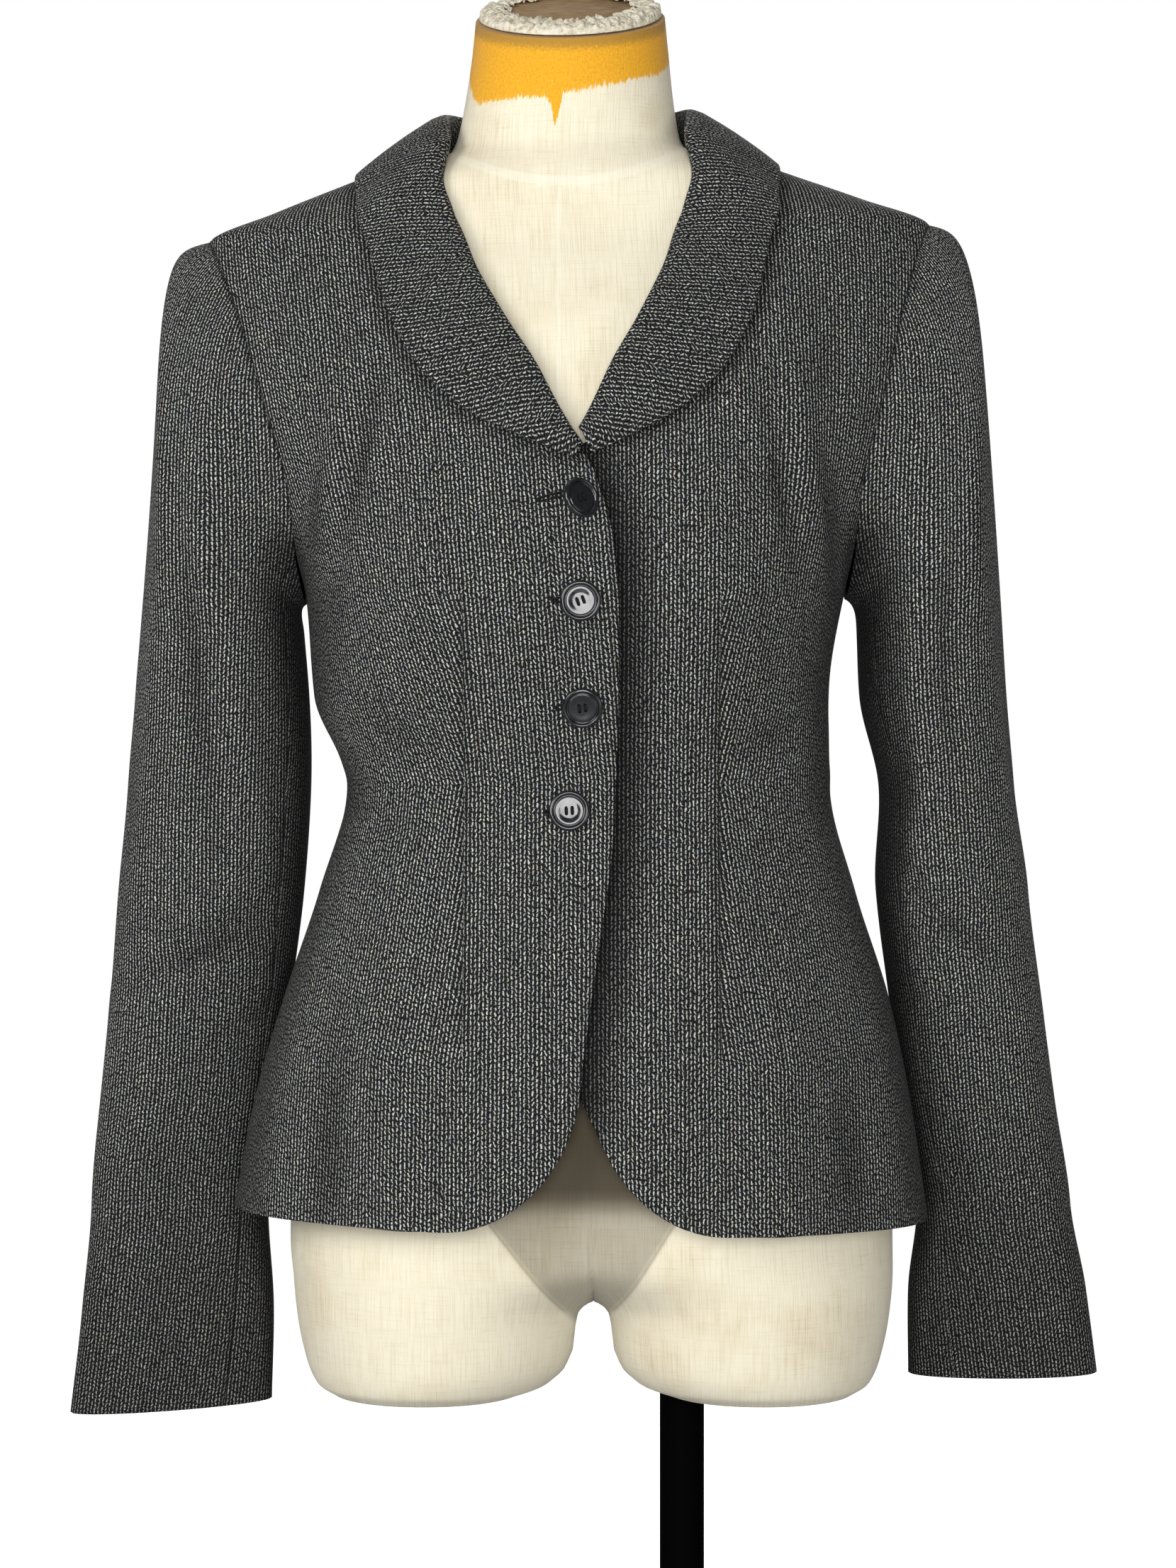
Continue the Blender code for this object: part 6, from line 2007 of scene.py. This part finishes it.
def build_neck():
    """The board that closes the neck, and the padding that shows round it."""
    angles = circle(ROUND_SIDES)
    up = np.array((0.0, 0.0, 1.0))
    soft = NECK_PLATE * BOARD_EDGE
    rings = [neck_oval(BOARD_MARGIN, angles),
             neck_oval(BOARD_MARGIN, angles) + up * (NECK_PLATE - soft),
             neck_oval(BOARD_MARGIN + soft, angles) + up * NECK_PLATE]
    vertices = np.concatenate(rings)
    index = np.arange(len(vertices)).reshape(len(rings), ROUND_SIDES)
    faces = ring_faces(index[:-1], index[1:]) + [index[0, ::-1].tolist(), index[-1].tolist()]
    board = joined_mesh("neck_board", [(vertices, faces)], board_material())
    board.set_sharp_from_angle(angle=SOFT_EDGE)
    add_piece("neck_board", board, "neck_plate")
    add_piece("neck_padding", padding_mesh())


def wavy(angles, turn, waves):
    """Uneven waves round a circle, turned a little."""
    return sum(height * np.sin(count * angles + start + twist * turn)
               for count, height, start, twist in waves)


def padding_mesh():
    """Crumpled padding with a torn inner edge, from the neck's rim up over the edge of the board."""
    angles = np.linspace(0.0, 2 * math.pi, PADDING_STEPS)[None, :]
    share = np.linspace(0.0, 1.0, PADDING_ROWS)[:, None]
    torn = wavy(angles, 0.0, PADDING_TEAR)
    crumple = np.abs(wavy(angles, share, PADDING_CRUMPLE))
    margin = PADDING.at("margin", share) + torn * ease(PADDING_TEAR_FROM, 1.0, share)
    lift = PADDING.at("lift", share) + crumple * ease(0.0, PADDING_CRUMPLE_FULL, share)
    points = neck_oval(margin, angles)
    points[..., 2] += lift
    around = angles * float(FORM.at("half_width", FORM.rows[-1, 0])) + 0.0 * share
    grain = np.stack((around, margin + 0.0 * angles), axis=-1)
    upward = np.zeros_like(points)
    upward[..., 2] = 1.0
    finish = padding_material()
    none = np.zeros(points.shape[:2])
    return cloth_mesh("neck_padding", points, grain, none, upward, PADDING_THICKNESS, (finish, finish))


def steel_material():
    """Black lacquered steel with a fine grain."""
    return flecked_material(
        "black_lacquer", flecks=(EVEN, 900.0, 2.0, 0.5),
        tones=((0.2, (0.0005, 0.0005, 0.0006)), (0.9, (0.0014, 0.0014, 0.0015))),
        roughness=(0.3, 0.7, 0.5, 0.7), Specular_IOR_Level=0.012)


def build_stand():
    """The pole and the base plate."""
    lacquer = steel_material()
    top = WAIST + FORM_FOOT + POLE_DEPTH - POLE_CLEARANCE
    low = BASE_THICKNESS + SEAM_GAP
    profile = ((0.0, low), (POLE_RADIUS, low), (POLE_RADIUS, top), (0.0, top))
    pole = lathe_mesh("round_pole", profile, ROUND_SIDES)
    pole.transform(Matrix.Translation((POLE_X, 0.0, 0.0)))
    angles = np.linspace(0.0, math.pi / 2, BASE_EDGE_STEPS)
    upper = [(BASE_RADIUS - BASE_EDGE * (1 - math.cos(angle)),
              BASE_THICKNESS - BASE_EDGE * (1 - math.sin(angle))) for angle in angles]
    lower = [(radius, BASE_THICKNESS - height) for radius, height in reversed(upper)]
    plate = lathe_mesh("base_plate", ((0.0, 0.0), *lower, *upper, (0.0, BASE_THICKNESS)), 2 * ROUND_SIDES)
    for name, mesh, node in (("round_pole", pole, "stand_pole"), ("base_plate", plate, "stand_base")):
        mesh.materials.append(lacquer)
        mesh.set_sharp_from_angle(angle=SOFT_EDGE)
        add_piece(name, mesh, node)


# Plain white studio
CAMERA_PLACE = (0.007, -2.2, WAIST)
CAMERA_LENS = 89.5
SENSOR_HEIGHT = 36.0
FLOOR_SIZE = 12.0
LAMPS = {
    "key": {"place": (-1.9, -2.1, 1.7), "aim": (0.0, 0.0, 0.95), "size": (1.6, 1.6), "power": 48.0},
    "fill": {"place": (2.0, -1.9, 0.5), "aim": (0.1, 0.0, 0.6), "size": (1.4, 1.4), "power": 13.0},
    "front": {"place": (0.0, -3.0, 0.9), "aim": (0.0, 0.0, 0.8), "size": (1.1, 1.5), "power": 54.0},
    "top": {"place": (-0.3, 0.2, 2.7), "aim": (0.0, 0.0, 1.0), "size": (1.4, 1.0), "power": 2.5},
    "back": {"place": (0.3, 2.4, 2.2), "aim": (0.0, 0.0, 0.8), "size": (1.4, 1.4), "power": 46.0},
}
FLOOR_BOUNCE = (0.4, 0.4, 0.4, 1.0)  # paper as it lights the blazer
FLOOR_GLOW = (0.86, 0.86, 0.86, 1.0)  # added to the paper as it is seen
BLACK = (0.0, 0.0, 0.0, 1.0)
WHITE = (1.0, 1.0, 1.0, 1.0)
PAPER_TONES = ((0.3, (0.88, 0.88, 0.88)), (0.7, (0.92, 0.92, 0.92)))
PAPER_TOOTH = 40.0
SKY_SEEN = 1.0
SKY_LIGHT = 0.14


def floor_material():
    """Pale studio paper."""
    made, graph, shader = new_material("studio_paper", Roughness=0.95, Specular_IOR_Level=0.1)
    place = graph.node("ShaderNodeTexCoord").outputs["Object"]
    tooth = graph.noise(place, PAPER_TOOTH, 3.0)
    seen = graph.node("ShaderNodeLightPath").outputs["Is Camera Ray"]
    paper = graph.ramp(tooth, PAPER_TONES)
    graph.feed(shader.inputs["Base Color"], graph.mixed(seen, FLOOR_BOUNCE, paper))
    graph.feed(shader.inputs["Emission Color"], graph.mixed(seen, BLACK, FLOOR_GLOW))
    shader.inputs["Emission Strength"].default_value = 1.0
    return made


def build_stage():
    """The floor, the sky, the lamps and the camera."""
    bpy.ops.mesh.primitive_plane_add(size=FLOOR_SIZE)
    floor = bpy.context.object
    floor.name = "studio_floor"
    floor.data.materials.append(floor_material())
    scene = bpy.context.scene
    world = bpy.data.worlds.new("studio_sky")
    scene.world = world
    world.use_nodes = True
    graph = Graph(world.node_tree)
    shade = world.node_tree.nodes["Background"]
    shade.inputs["Color"].default_value = WHITE
    seen = graph.node("ShaderNodeLightPath").outputs["Is Camera Ray"]
    strength = graph.sum("MULTIPLY_ADD", seen, SKY_SEEN - SKY_LIGHT, SKY_LIGHT)
    graph.feed(shade.inputs["Strength"], strength)
    for name, lamp in LAMPS.items():
        light = bpy.data.lights.new(name, "AREA")
        light.shape = "RECTANGLE"
        light.size, light.size_y = lamp["size"]
        light.energy = lamp["power"]
        item = new_object(name, light)
        item.location = lamp["place"]
        item.rotation_euler = (Vector(lamp["aim"]) - item.location).to_track_quat("-Z", "Y").to_euler()
    camera = new_object("camera", bpy.data.cameras.new("camera"))
    camera.location = CAMERA_PLACE
    camera.rotation_euler = (math.pi / 2, 0.0, 0.0)
    camera.data.lens = CAMERA_LENS
    camera.data.sensor_fit = "VERTICAL"
    camera.data.sensor_height = SENSOR_HEIGHT
    scene.camera = camera
    scene.view_settings.view_transform = "Standard"


build_cloth()
build_buttons()
build_form()
build_neck()
build_stand()
build_stage()
